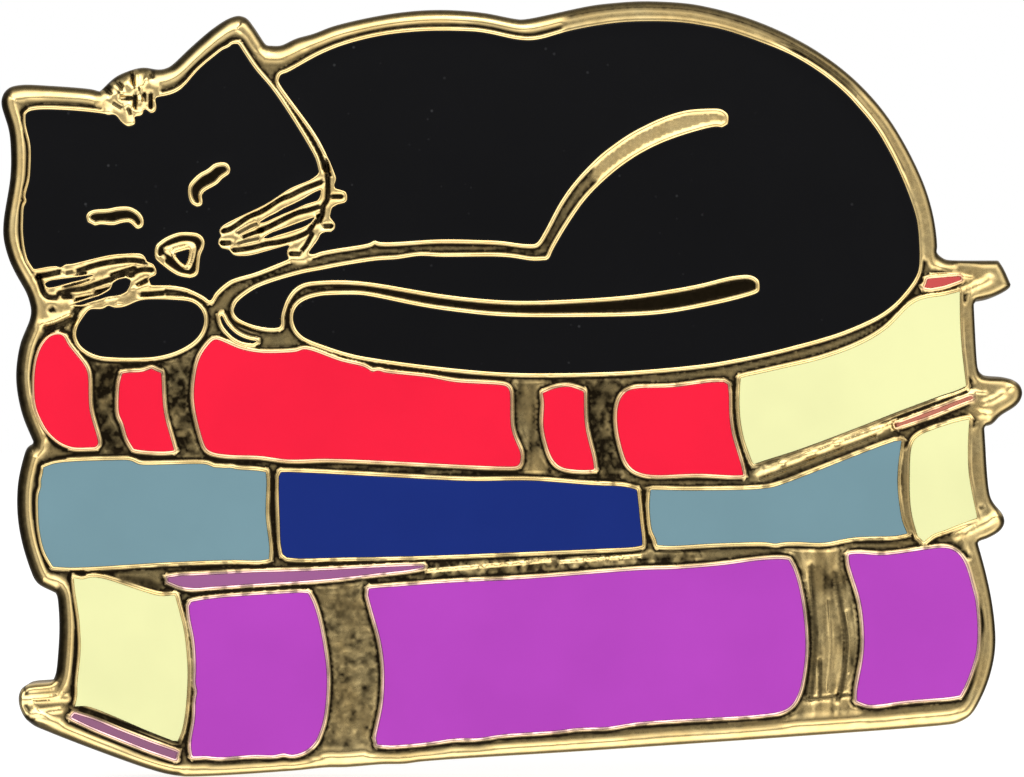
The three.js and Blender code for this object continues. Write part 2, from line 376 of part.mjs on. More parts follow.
    [-5.699, -5.969], [-6.955, -6.063], [-8.211, -6.139], [-9.31, -6.214], [-10.095, -6.258],
    [-10.472, -6.183],
  ] },
  { name: 'enamel_purple_cover_lower', finish: MAUVE, outline: [
    [-13.769, -10.205], [-13.078, -10.425], [-12.293, -10.754], [-11.351, -11.119],
    [-10.535, -11.414], [-10.597, -11.621], [-11.414, -11.339], [-12.293, -10.993],
    [-13.078, -10.673], [-13.675, -10.397],
  ] },
];

// ---------------------------------------------------------------- solids and meshes
const wasm = await Module();
wasm.setup();

function solidOf(geometry) {
  // Vertices must merge on position alone for the mesh to be closed.
  for (const name of Object.keys(geometry.attributes)) {
    if (name !== 'position') geometry.deleteAttribute(name);
  }
  const merged = mergeVertices(geometry, 1e-4);
  return new wasm.Manifold(new wasm.Mesh({
    numProp: 3,
    vertProperties: new Float32Array(merged.attributes.position.array),
    triVerts: new Uint32Array(merged.index.array),
  }));
}

function geometryOf(solid) {
  const mesh = solid.getMesh();
  const geometry = new THREE.BufferGeometry();
  geometry.setAttribute('position', new THREE.Float32BufferAttribute(mesh.vertProperties, 3));
  geometry.setIndex(new THREE.Uint32BufferAttribute(mesh.triVerts, 1));
  geometry.computeVertexNormals();
  return geometry;
}

function addMesh(parent, name, geometry, finish) {
  const mesh = new THREE.Mesh(geometry, new THREE.MeshStandardMaterial(finish));
  mesh.name = name;
  parent.add(mesh);
  return mesh;
}

// ---------------------------------------------------------------- sections
const pointsOf = (pairs) => pairs.map(([x, y]) => new THREE.Vector2(x, y));

function shapeOf(points, holes = []) {
  const shape = new THREE.Shape(points);
  shape.holes = holes.map((hole) => new THREE.Path(hole));
  return shape;
}

// Moves every side of a closed outline towards its inside (outwards if distance is negative).
function inset(points, distance) {
  const MIN_MITRE_SQUARED = 0.6;  // limits how far a sharp corner moves
  const turn = THREE.ShapeUtils.area(points) > 0 ? 1 : -1;
  const inwardNormal = (from, to) => {
    const along = to.clone().sub(from).normalize();
    return new THREE.Vector2(-along.y * turn, along.x * turn);
  };
  return points.map((corner, i) => {
    const before = points.at(i - 1);
    const after = points[(i + 1) % points.length];
    const mitre = inwardNormal(before, corner).add(inwardNormal(corner, after));
    const reach = (2 * distance) / Math.max(mitre.lengthSq(), MIN_MITRE_SQUARED);
    return corner.clone().addScaledVector(mitre, reach);
  });
}

function extrude(shape, depth, curveSegments) {
  return new THREE.ExtrudeGeometry(shape, { depth, bevelEnabled: false, steps: 1, curveSegments });
}

// A prism whose section lies in the XZ plane.
function prismXZ(shape, yFrom, yTo) {
  return extrude(shape, yTo - yFrom, FACE_CURVE_SEGMENTS)
    .rotateX(Math.PI / 2)      // section up into XZ, extrusion along -Y
    .translate(0, yTo, 0);
}

// A prism whose section lies in the XY plane.
function prismXY(shape, zFrom, zTo) {
  return extrude(shape, zTo - zFrom, WING_CURVE_SEGMENTS).translate(0, 0, zFrom);
}

// A prism whose section is drawn in the ZY plane.
function prismZY(shape, xFrom, xTo) {
  return extrude(shape, xTo - xFrom, WING_CURVE_SEGMENTS)
    .rotateY(Math.PI / 2)      // section x -> -z, extrusion along +X
    .translate(xFrom, 0, 0);
}

// ---------------------------------------------------------------- base plate and enamel
const FACE_Y = -PLATE_THICKNESS;
const CELL_FLOOR_Y = FACE_Y + CELL_DEPTH;

function plateGeometry() {
  const body = shapeOf(pointsOf(PLATE_OUTLINE));
  const panel = shapeOf(pointsOf([
    [-PANEL_HALF_WIDTH, -PANEL_HALF_HEIGHT], [PANEL_HALF_WIDTH, -PANEL_HALF_HEIGHT],
    [PANEL_HALF_WIDTH, PANEL_HALF_HEIGHT], [-PANEL_HALF_WIDTH, PANEL_HALF_HEIGHT],
  ]));
  let plate = solidOf(prismXZ(body, FACE_Y, -BACK_FIELD_DEPTH))
    .add(solidOf(prismXZ(panel, -PANEL_ROOT_DEPTH, 0)));
  for (const { outline, islands = [] } of CELLS) {
    const section = shapeOf(pointsOf(outline), islands.map(pointsOf));
    plate = plate.subtract(solidOf(prismXZ(section, FACE_Y - OVERCUT, CELL_FLOOR_Y)));
  }
  return geometryOf(plate);
}

function enamelGeometry({ outline, islands = [] }) {
  const section = shapeOf(
    inset(pointsOf(outline), CELL_CLEARANCE),
    islands.map((island) => inset(pointsOf(island), -CELL_CLEARANCE)),
  );
  const fill = prismXZ(section, FACE_Y + ENAMEL_SINK, CELL_FLOOR_Y - CELL_CLEARANCE);
  return geometryOf(solidOf(fill));
}

// ---------------------------------------------------------------- pin posts
// Lathed about the post's axis: flat foot, fillet, shaft, locking groove, pointed tip.
function postGeometry() {
  const footY = SOLDER_GAP - BACK_FIELD_DEPTH;
  const padTopY = footY + POST_PAD_THICKNESS;
  const profile = [  // [radius, y]
    [0, footY],
    [POST_PAD_RADIUS - 0.08, footY],
    [POST_PAD_RADIUS, footY + 0.1],
    [POST_PAD_RADIUS - 0.1, padTopY],
    [POST_RADIUS + 0.25, padTopY + 0.02],
    [POST_RADIUS, padTopY + 0.28],
    [POST_RADIUS, GROOVE_Y - GROOVE_HALF_MOUTH],
    [GROOVE_RADIUS, GROOVE_Y - GROOVE_HALF_FLOOR],
    [GROOVE_RADIUS, GROOVE_Y + GROOVE_HALF_FLOOR],
    [POST_RADIUS, GROOVE_Y + GROOVE_HALF_MOUTH],
    [POST_RADIUS, POST_TIP_Y - POST_TIP_LENGTH],
    [0.2, POST_TIP_Y - 0.22],
    [0, POST_TIP_Y],
  ];
  return new THREE.LatheGeometry(pointsOf(profile), POST_SEGMENTS);
}

// ---------------------------------------------------------------- butterfly clutch
// All clutch pieces are drawn about the post's axis with y = 0 at the shell's base.

// Round cup, lathed: up the outside, over the curled lip and back down the inside.
function shellGeometry() {
  const innerRadius = SHELL_RADIUS - SHELL_WALL;
  const profile = [  // [radius, y]
    [SHELL_HOLE_RADIUS, 0],
    [SHELL_RADIUS - 0.7, 0],
    [SHELL_RADIUS - 0.2, 0.18],
    [SHELL_RADIUS, 0.65],
    [SHELL_RADIUS, SHELL_HEIGHT - 0.75],
    [SHELL_RADIUS - 0.22, SHELL_HEIGHT - 0.22],
    [SHELL_RADIUS - 0.6, SHELL_HEIGHT],
    [SHELL_LIP_RADIUS, SHELL_HEIGHT - 0.06],
    [SHELL_LIP_RADIUS, SHELL_HEIGHT - 0.36],
    [SHELL_RADIUS - 0.65, SHELL_HEIGHT - 0.4],
    [innerRadius, SHELL_HEIGHT - 0.85],
    [innerRadius, 0.75],
    [innerRadius - 0.3, SHELL_WALL],
    [SHELL_HOLE_RADIUS, SHELL_WALL],
    [SHELL_HOLE_RADIUS, 0],
  ];
  return new THREE.LatheGeometry(pointsOf(profile), SHELL_SEGMENTS);
}

// Spring bridge: a flat strip across the shell, its round ends tucked under the curled lip.
function springGeometry() {
  const halfAngle = Math.asin(SPRING_HALF_WIDTH / SPRING_HALF_LENGTH);
  const outline = [];
  for (const end of [1, -1]) {
    for (let i = 0; i <= SPRING_END_STEPS; i++) {
      const angle = end * halfAngle * (1 - (2 * i) / SPRING_END_STEPS);
      const x = SPRING_HALF_LENGTH * Math.sin(angle);
      const z = end * SPRING_HALF_LENGTH * Math.cos(angle);
      outline.push([x, z]);
    }
  }
  const strip = shapeOf(pointsOf(outline));
  strip.holes.push(new THREE.Path().absarc(0, 0, SPRING_HOLE_RADIUS, 0, 2 * Math.PI, true));
  return prismXZ(strip, SPRING_Y, SPRING_Y + SPRING_THICKNESS);
}

// Middle line of the bent strip on the +X side, [x, y], from the jaw out to the wing's top.
const WING_PATH = [
  [0.34, 0.95], [1.35, 0.98], [1.85, 1.18], [2.15, 1.6], [2.28, 2.2], [2.55, 3.0],
  [3.25, 4.6], [3.95, 6.1], [4.25, 6.62], [4.75, WING_TOP_Y - 0.15],
];

// The strip seen edge-on: the middle line thickened equally to both sides.
function wingEdgeShape() {
  const path = pointsOf(WING_PATH);
  const upper = [];
  const lower = [];
  path.forEach((point, i) => {
    const before = path[Math.max(0, i - 1)];
    const after = path[Math.min(path.length - 1, i + 1)];
    const along = after.clone().sub(before).normalize();
    const normal = new THREE.Vector2(-along.y, along.x);
    upper.push(point.clone().addScaledVector(normal, WING_THICKNESS / 2));
    lower.push(point.clone().addScaledVector(normal, -WING_THICKNESS / 2));
  });
  return shapeOf([...lower, ...upper.reverse()]);
}

// The strip seen along X: a narrow jaw widening to a round-cornered wing.
function wingFrontShape() {
  const jaw = JAW_HALF_WIDTH;
  const wing = WING_HALF_WIDTH;
  const radius = WING_CORNER_RADIUS;
  const cornerX = wing - radius;
  const cornerY = WING_TOP_Y - WING_TRIM - radius;
  const front = new THREE.Shape();
  front.moveTo(-jaw, 0);
  front.lineTo(jaw, 0);
  front.lineTo(jaw, JAW_TOP_Y);
  front.quadraticCurveTo(jaw + 0.1, 2.3, wing - 0.5, 2.75);
  front.quadraticCurveTo(wing, 2.95, wing, WING_SHOULDER_Y);
  front.lineTo(wing, cornerY);
  front.absarc(cornerX, cornerY, radius, 0, Math.PI / 2, false);
  front.absarc(-cornerX, cornerY, radius, Math.PI / 2, Math.PI, false);
  front.lineTo(-wing, WING_SHOULDER_Y);
  front.quadraticCurveTo(-wing, 2.95, -wing + 0.5, 2.75);
  front.quadraticCurveTo(-jaw - 0.1, 2.3, -jaw, JAW_TOP_Y);
  front.closePath();
  return front;
}

// One squeeze wing and its jaw; side is 1 for the +X wing and -1 for the -X wing.
function wingGeometry(side) {
  const halfStrip = WING_HALF_WIDTH + OVERCUT;
  const notch = new THREE.CylinderGeometry(
    NOTCH_RADIUS, NOTCH_RADIUS, NOTCH_HEIGHT, POST_SEGMENTS,
  ).translate(0, NOTCH_MIDDLE_Y, 0);
  const wing = solidOf(prismXY(wingEdgeShape(), -halfStrip, halfStrip))
    .intersect(solidOf(prismZY(wingFrontShape(), -1, 6)))  // x range clears the whole strip
    .subtract(solidOf(notch));
  return geometryOf(side < 0 ? wing.rotate([0, 180, 0]) : wing);
}

// ---------------------------------------------------------------- assembly
const pin = new THREE.Group();
pin.name = 'enamel_pin';

addMesh(pin, 'base_plate', plateGeometry(), GOLD);
for (const cell of CELLS) addMesh(pin, cell.name, enamelGeometry(cell), cell.finish);

for (const [label, side] of [['left', -1], ['right', 1]]) {
  const x = (side * POST_SPACING) / 2;
  addMesh(pin, `pin_post_${label}`, postGeometry(), STEEL).position.set(x, 0, POST_Z);

  const clutch = new THREE.Group();
  clutch.position.set(x, CLUTCH_Y, POST_Z);
  pin.add(clutch);
  addMesh(clutch, `clutch_${label}_shell`, shellGeometry(), GOLD);
  addMesh(clutch, `clutch_${label}_spring`, springGeometry(), GOLD);
  addMesh(clutch, `clutch_${label}_wing_a`, wingGeometry(-1), GOLD);
  addMesh(clutch, `clutch_${label}_wing_b`, wingGeometry(1), GOLD);
}

export default pin;
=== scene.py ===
"""Enamel pin: looks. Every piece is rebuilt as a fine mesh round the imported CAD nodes, in the CAD frame.

Lengths in this file are millimetres in the row frame (picture side in the XZ plane, facing -Y) until a mesh is
made, when they become metres.
"""
import math
import bpy
import numpy as np
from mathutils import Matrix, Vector
from mathutils.geometry import delaunay_2d_cdt
from mathutils.kdtree import KDTree


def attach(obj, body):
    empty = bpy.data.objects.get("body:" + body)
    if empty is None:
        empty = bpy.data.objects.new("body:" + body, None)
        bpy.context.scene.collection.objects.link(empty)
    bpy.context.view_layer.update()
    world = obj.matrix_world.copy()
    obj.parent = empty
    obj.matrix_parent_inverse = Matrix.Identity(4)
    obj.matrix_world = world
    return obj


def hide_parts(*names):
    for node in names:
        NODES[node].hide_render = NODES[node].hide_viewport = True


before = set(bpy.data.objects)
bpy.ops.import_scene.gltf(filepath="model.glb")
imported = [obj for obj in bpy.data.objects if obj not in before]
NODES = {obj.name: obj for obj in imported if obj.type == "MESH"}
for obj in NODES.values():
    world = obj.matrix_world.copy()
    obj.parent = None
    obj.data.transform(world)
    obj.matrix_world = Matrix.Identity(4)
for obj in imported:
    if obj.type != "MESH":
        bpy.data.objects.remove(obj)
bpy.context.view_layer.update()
MM = 0.001

# ------------------------------------------------------------------ relief of the struck plate
FACE = min(v.co.y for v in NODES["base_plate"].data.vertices) / MM      # line tops
CELL_DEPTH = 0.55
ENAMEL_SINK = 0.020       # enamel surface below the line tops
BEAD = 0.150              # width of the rounded edge along a cell, highest halfway
EDGE_DROP = 0.018         # how far that edge has fallen where it meets the cell
VALLEY_DROP = 0.062       # the hollow behind the rounded edge
RIM_WIDTH = 0.46          # rounded outer rim
RIM_DROP = 0.46
PITCH = 0.060             # point spacing along the outlines
BACK_Y = -0.06            # textured back field
PANEL = (2.8, 4.2)        # half sizes of the smooth back panel

rng = np.random.RandomState(11)


# ------------------------------------------------------------------ small numeric helpers
def smoothstep(x, a, b):
    t = np.clip((x - a) / (b - a), 0.0, 1.0)
    return t * t * (3 - 2 * t)


class Noise:
    """Seeded value noise on a wrapped lattice."""
    def __init__(self, seed):
        self.t = np.random.RandomState(seed).rand(256, 256)

    def __call__(self, x, z, size):
        u, v = x / size, z / size
        i, j = np.floor(u).astype(int), np.floor(v).astype(int)
        f, g = u - i, v - j
        f, g = f * f * (3 - 2 * f), g * g * (3 - 2 * g)
        t = self.t
        a, b = t[i % 256, j % 256], t[(i + 1) % 256, j % 256]
        c, d = t[i % 256, (j + 1) % 256], t[(i + 1) % 256, (j + 1) % 256]
        return (a * (1 - f) + b * f) * (1 - g) + (c * (1 - f) + d * f) * g - 0.5


def cellular(x, z, size, seed):
    """Distance to the nearest and second nearest seeded point, in units of size."""
    r = np.random.RandomState(seed).rand(128, 128, 2)
    u, v = x / size, z / size
    i, j = np.floor(u).astype(int), np.floor(v).astype(int)
    d1 = np.full(len(u), 9.0)
    d2 = np.full(len(u), 9.0)
    for di in (-1, 0, 1):
        for dj in (-1, 0, 1):
            p = r[(i + di) % 128, (j + dj) % 128]
            d = np.hypot(i + di + p[:, 0] - u, j + dj + p[:, 1] - v)
            near = d < d1
            d2 = np.where(near, d1, np.minimum(d2, d))
            d1 = np.where(near, d, d1)
    return d1, d2


N1, N2, N3, N4 = Noise(1), Noise(2), Noise(3), Noise(4)


def area(p):
    return 0.5 * float(np.sum(p[:, 0] * np.roll(p[:, 1], -1) - np.roll(p[:, 0], -1) * p[:, 1]))


def face_loops(obj, y):
    """Closed outlines of the flat face of a CAD node at height y, as arrays of (x, z)."""
    key, pts, ids = {}, [], []
    for v in obj.data.vertices:
        k = (round(v.co.x / MM, 3), round(v.co.y / MM, 3), round(v.co.z / MM, 3))
        if k not in key:
            key[k] = len(pts)
            pts.append(k)
        ids.append(key[k])
    edges = {}
    obj.data.calc_loop_triangles()
    for t in obj.data.loop_triangles:
        a = [ids[i] for i in t.vertices]
        if len(set(a)) < 3 or any(abs(pts[i][1] - y) > 0.004 for i in a):
            continue
        for k in range(3):
            e = (a[k], a[(k + 1) % 3])
            if (e[1], e[0]) in edges:
                del edges[(e[1], e[0])]
            else:
                edges[e] = True
    nxt = {}
    for a, b in edges:
        nxt.setdefault(a, []).append(b)
    loops = []
    while nxt:
        start = next(iter(nxt))
        loop, cur = [], start
        while True:
            loop.append(cur)
            out = nxt[cur]
            n = out.pop()
            if not out:
                del nxt[cur]
            cur = n
            if cur == start or cur not in nxt:
                break
        if len(loop) > 2:
            loops.append(np.array([[pts[i][0], pts[i][2]] for i in loop]))
    return loops


def spline(p, sharp, step):
    """A closed centripetal spline through p, broken at its sharp corners."""
    n = len(p)
    out = []
    for i in range(n):
        p1, p2 = p[i], p[(i + 1) % n]
        p0 = 2 * p1 - p2 if sharp[i] else p[i - 1]
        p3 = 2 * p2 - p1 if sharp[(i + 1) % n] else p[(i + 2) % n]
        t0 = 0.0
        t1 = t0 + max(np.hypot(*(p1 - p0)), 1e-6) ** 0.5
        t2 = t1 + max(np.hypot(*(p2 - p1)), 1e-6) ** 0.5
        t3 = t2 + max(np.hypot(*(p3 - p2)), 1e-6) ** 0.5
        m = max(2, int(np.hypot(*(p2 - p1)) / step))
        t = np.linspace(t1, t2, m, endpoint=False)[:, None]
        A1 = (t1 - t) / (t1 - t0) * p0 + (t - t0) / (t1 - t0) * p1
        A2 = (t2 - t) / (t2 - t1) * p1 + (t - t1) / (t2 - t1) * p2
        A3 = (t3 - t) / (t3 - t2) * p2 + (t - t2) / (t3 - t2) * p3
        B1 = (t2 - t) / (t2 - t0) * A1 + (t - t0) / (t2 - t0) * A2
        B2 = (t3 - t) / (t3 - t1) * A2 + (t - t1) / (t3 - t1) * A3
        out.append((t2 - t) / (t2 - t1) * B1 + (t - t1) / (t2 - t1) * B2)
    return np.vstack(out)


def find_corners(q, step, reach=0.11, chord=0.17, least=46.0):
    """Places where a closed curve turns quickly: (first index, last index, where its two sides meet)."""
    n = len(q)
    k, m = int(round(reach / step)), int(round(chord / step))
    a = np.roll(q, k, 0) - np.roll(q, k + m, 0)
    b = np.roll(q, -k - m, 0) - np.roll(q, -k, 0)
    turn = np.abs(np.degrees(np.arctan2(a[:, 0] * b[:, 1] - a[:, 1] * b[:, 0], (a * b).sum(1))))
    found, taken = [], np.zeros(n, bool)
    for i in np.argsort(-turn):
        if turn[i] < least or turn[i] > 125:
            continue
        near = [(i + j) % n for j in range(-2 * k, 2 * k + 1)]
        if taken[near].any():
            continue
        A, B = q[(i - k) % n], q[(i + k) % n]
        da, db = a[i] / np.hypot(*a[i]), b[i] / np.hypot(*b[i])
        M = np.column_stack([da, db])
        if abs(np.linalg.det(M)) < 0.3:
            continue
        u, v = np.linalg.solve(M, B - A)
        if u <= 0 or v <= 0 or u > 0.25 or v > 0.25:
            continue
        taken[i] = True
        found.append(((i - k) % n, (i + k) % n, A + da * u))
    return found


def ease(q, step, soften, pinned):
    """Gaussian easing along a curve; with pinned ends the ends stay where they are."""
    k = int(3 * soften / step)
    k = min(k, len(q) - 1)
    if k < 1:
        return q
    w = np.exp(-0.5 * (np.arange(-k, k + 1) * step / soften) ** 2)
    w /= w.sum()
    if pinned:
        ext = np.vstack([2 * q[0] - q[k:0:-1], q, 2 * q[-1] - q[-2:-k - 2:-1]])
    else:
        ext = np.vstack([q[-k:], q, q[:k]])
    return np.column_stack([np.convolve(ext[:, d], w, "valid") for d in (0, 1)])


def smooth_loop(p, pitch=PITCH, corner=36.0, soften=0.012, crisp=False):
    """A closed curve through the outline's points. A crisp one has its quick turns made into true corners."""
    a, c = np.roll(p, 1, 0), np.roll(p, -1, 0)
    u, v = p - a, c - p
    turn = np.degrees(np.abs(np.arctan2(u[:, 0] * v[:, 1] - u[:, 1] * v[:, 0], (u * v).sum(1))))
    step = 0.010
    q = resample(spline(p, turn > corner, step), step)
    corners = find_corners(q, step) if crisp else []
    if not corners:
        return resample(ease(q, step, 0.05 if crisp else soften, False), pitch)
    corners.sort(key=lambda f: f[0])
    n, out = len(q), []
    for i, (_, start, here) in enumerate(corners):
        stop, there = corners[(i + 1) % len(corners)][0], corners[(i + 1) % len(corners)][2]
        if stop < start:
            stop += n
        mid = q[[j % n for j in range(start, stop + 1)]]
        run = np.vstack([here, mid, there])
        s = np.r_[0, np.cumsum(np.hypot(*np.diff(run, axis=0).T))]
        m = max(4, int(s[-1] / step))
        t = np.linspace(0, s[-1], m)
        run = np.column_stack([np.interp(t, s, run[:, 0]), np.interp(t, s, run[:, 1])])
        run = ease(run, s[-1] / (m - 1), 0.09, True)
        m = max(1, int(round(s[-1] / pitch)))
        s = np.r_[0, np.cumsum(np.hypot(*np.diff(run, axis=0).T))]
        t = np.linspace(0, s[-1], m, endpoint=False)
        out.append(np.column_stack([np.interp(t, s, run[:, 0]), np.interp(t, s, run[:, 1])]))
    return np.vstack(out)


def resample(q, pitch):
    r = np.vstack([q, q[:1]])
    s = np.r_[0, np.cumsum(np.hypot(*np.diff(r, axis=0).T))]
    n = max(12, int(round(s[-1] / pitch)))
    t = np.linspace(0, s[-1], n, endpoint=False)
    return np.column_stack([np.interp(t, s, r[:, 0]), np.interp(t, s, r[:, 1])])


def left_normals(p):
    t = np.roll(p, -1, 0) - np.roll(p, 1, 0)
    t /= np.maximum(np.hypot(t[:, 0], t[:, 1]), 1e-9)[:, None]
    return np.column_stack([-t[:, 1], t[:, 0]])


class Boundary:
    """Dense samples of some loops, with the normal that points into the metal."""
    def __init__(self, loops):          # list of (points, side): side +1 if the metal is left of the loop
        P, N, W = [], [], []
        for k, (p, side) in enumerate(loops):
            q = resample(p, 0.012)
            P.append(q)
            N.append(left_normals(q) * side)
            W.append(np.full(len(q), k))
        self.p, self.n, self.which = np.vstack(P), np.vstack(N), np.concatenate(W)
        self.kd = KDTree(len(self.p))
        for i, (x, z) in enumerate(self.p):
            self.kd.insert((x, z, 0.0), i)
        self.kd.balance()
        self.lo, self.map = None, None

    def _coarse(self, step=0.3):
        self.lo, self.step = self.p.min(0) - 1.0, step
        n = np.ceil((self.p.max(0) + 1.0 - self.lo) / step).astype(int) + 1
        self.map = np.array([[self.kd.find((self.lo[0] + i * step, self.lo[1] + j * step, 0.0))[2] for j in range(n[1])] for i in range(n[0])])

    def signed(self, q, far=None):
        """Distance to the loops, positive on the metal side, and the nearest sample's index.
        Beyond about far the distance is only roughly right, and taken as positive."""
        idx = np.zeros(len(q), int)
        rough = np.zeros(len(q))
        todo = range(len(q))
        if far is not None:
            if self.map is None:
                self._coarse()
            k = np.round((q - self.lo) / self.step).astype(int)
            k = np.clip(k, 0, np.array(self.map.shape) - 1)
            rough = self.map[k[:, 0], k[:, 1]] - self.step * 0.71
            todo = np.where(rough < far)[0]
        find = self.kd.find
        for k in todo:
            idx[k] = find((q[k, 0], q[k, 1], 0.0))[1]
        d = q - self.p[idx]
        n = self.n[idx]
        along = d[:, 0] * n[:, 0] + d[:, 1] * n[:, 1]
        dist = np.hypot(d[:, 0], d[:, 1])
        out = np.where(along >= -1e-9, dist, -dist)
        if far is not None:
            out = np.where(rough < far, out, rough)
        return out, idx


def polyline_distance(q, pts):
    """Distance from points to an open polyline, and the share of its length at the nearest point."""
    pts = np.array(pts, float)
    seg = np.diff(pts, axis=0)
    L = np.hypot(seg[:, 0], seg[:, 1])
    S = np.r_[0, np.cumsum(L)]
    best = np.full(len(q), 1e9)
    share = np.zeros(len(q))
    for k in range(len(seg)):
        w = q - pts[k]
        t = np.clip((w @ seg[k]) / max(L[k] ** 2, 1e-12), 0, 1)
        d = np.hypot(w[:, 0] - t * seg[k][0], w[:, 1] - t * seg[k][1])
        near = d < best
        best = np.where(near, d, best)
        share = np.where(near, (S[k] + t * L[k]) / S[-1], share)
    return best, share


def smooth_line(pts, pitch=0.04):
    """Catmull-Rom through an open list of points."""
    P = np.array(pts, float)
    if len(P) < 3:
        return P
    Q = np.vstack([2 * P[0] - P[1], P, 2 * P[-1] - P[-2]])
    out = []
    for i in range(1, len(Q) - 2):
        a, b, c, d = Q[i - 1:i + 3]
        m = max(2, int(np.hypot(*(c - b)) / pitch))
        for t in np.linspace(0, 1, m, endpoint=False):
            out.append(0.5 * (2 * b + (-a + c) * t + (2 * a - 5 * b + 4 * c - d) * t * t + (-a + 3 * b - 3 * c + d) * t ** 3))
    out.append(P[-1])
    return np.array(out)


# ------------------------------------------------------------------ mesh building
def make_mesh(name, verts_mm, faces, material, smooth=True, attrs=None):
    me = bpy.data.meshes.new(name)
    me.from_pydata([(x * MM, y * MM, z * MM) for x, y, z in verts_mm], [], faces)
    me.validate(verbose=False)
    me.update()
    if smooth:
        me.shade_smooth()
    for key, values in (attrs or {}).items():
        a = me.attributes.new(key, "FLOAT", "POINT")
        a.data.foreach_set("value", np.asarray(values, np.float32))
    me.materials.append(material)
    ob = bpy.data.objects.new(name, me)
    bpy.context.scene.collection.objects.link(ob)
    return ob


def inside(q, poly):
    """Which points lie inside a closed outline."""
    poly = np.asarray(poly, float)
    order = np.argsort(q[:, 1], kind="stable")
    x, z = q[order, 0], q[order, 1]
    r = np.zeros(len(q), bool)
    nxt = np.roll(poly, -1, 0)
    za, zb = np.minimum(poly[:, 1], nxt[:, 1]), np.maximum(poly[:, 1], nxt[:, 1])
    i0, i1 = np.searchsorted(z, za, "left"), np.searchsorted(z, zb, "left")
    for (x0, z0), (x1, z1), a, b in zip(poly, nxt, i0, i1):
        if b > a:
            r[a:b] ^= x[a:b] < x0 + (z[a:b] - z0) * (x1 - x0) / (z1 - z0)
    out = np.empty(len(q), bool)
    out[order] = r
    return out


def between(q, loops):
    """Which points lie in the region bounded by nested outlines."""
    r = np.zeros(len(q), bool)
    for lp in loops:
        r ^= inside(q, lp)
    return r


def triangulate(loops, extra):
    """Constrained triangulation of the region between closed loops, through the extra points."""
    V, E = [], []
    for lp in loops:
        b = len(V)
        V += [Vector((x, z)) for x, z in lp]
        E += [(b + i, b + (i + 1) % len(lp)) for i in range(len(lp))]
    nb = len(V)
    V += [Vector((x, z)) for x, z in extra]
    vs, _, fs, ov, _, _ = delaunay_2d_cdt(V, E, [], 1, 1e-6)
    src = [min(o) if o else -1 for o in ov]     # each output vertex's place among the inputs
    pts = np.array([(v.x, v.y) for v in vs])
    F = np.array([list(f) for f in fs])
    F = F[between(pts[F].mean(1), loops)]
    used = np.zeros(len(pts), bool)
    used[F.ravel()] = True
    new = np.cumsum(used) - 1
    src = [s for s, u in zip(src, used) if u]
    return pts[used], new[F].tolist(), src, nb


def orient(faces, pts, up):
    """Turns each flat face so that its area in (x, z) has the wanted sign."""
    if not faces:
        return []
    f = np.array([x[:3] for x in faces])
    a, b, c = pts[f[:, 0]], pts[f[:, 1]], pts[f[:, 2]]
    s = (b[:, 0] - a[:, 0]) * (c[:, 1] - a[:, 1]) - (b[:, 1] - a[:, 1]) * (c[:, 0] - a[:, 0])
    return [x if (v > 0) == up else x[::-1] for x, v in zip(faces, s)]


# ------------------------------------------------------------------ materials
def lin(rgb):
    out = []
    for c in rgb:
        c = c / 255.0
        out.append(c / 12.92 if c <= 0.04045 else ((c + 0.055) / 1.055) ** 2.4)
    return tuple(out) + (1.0,)


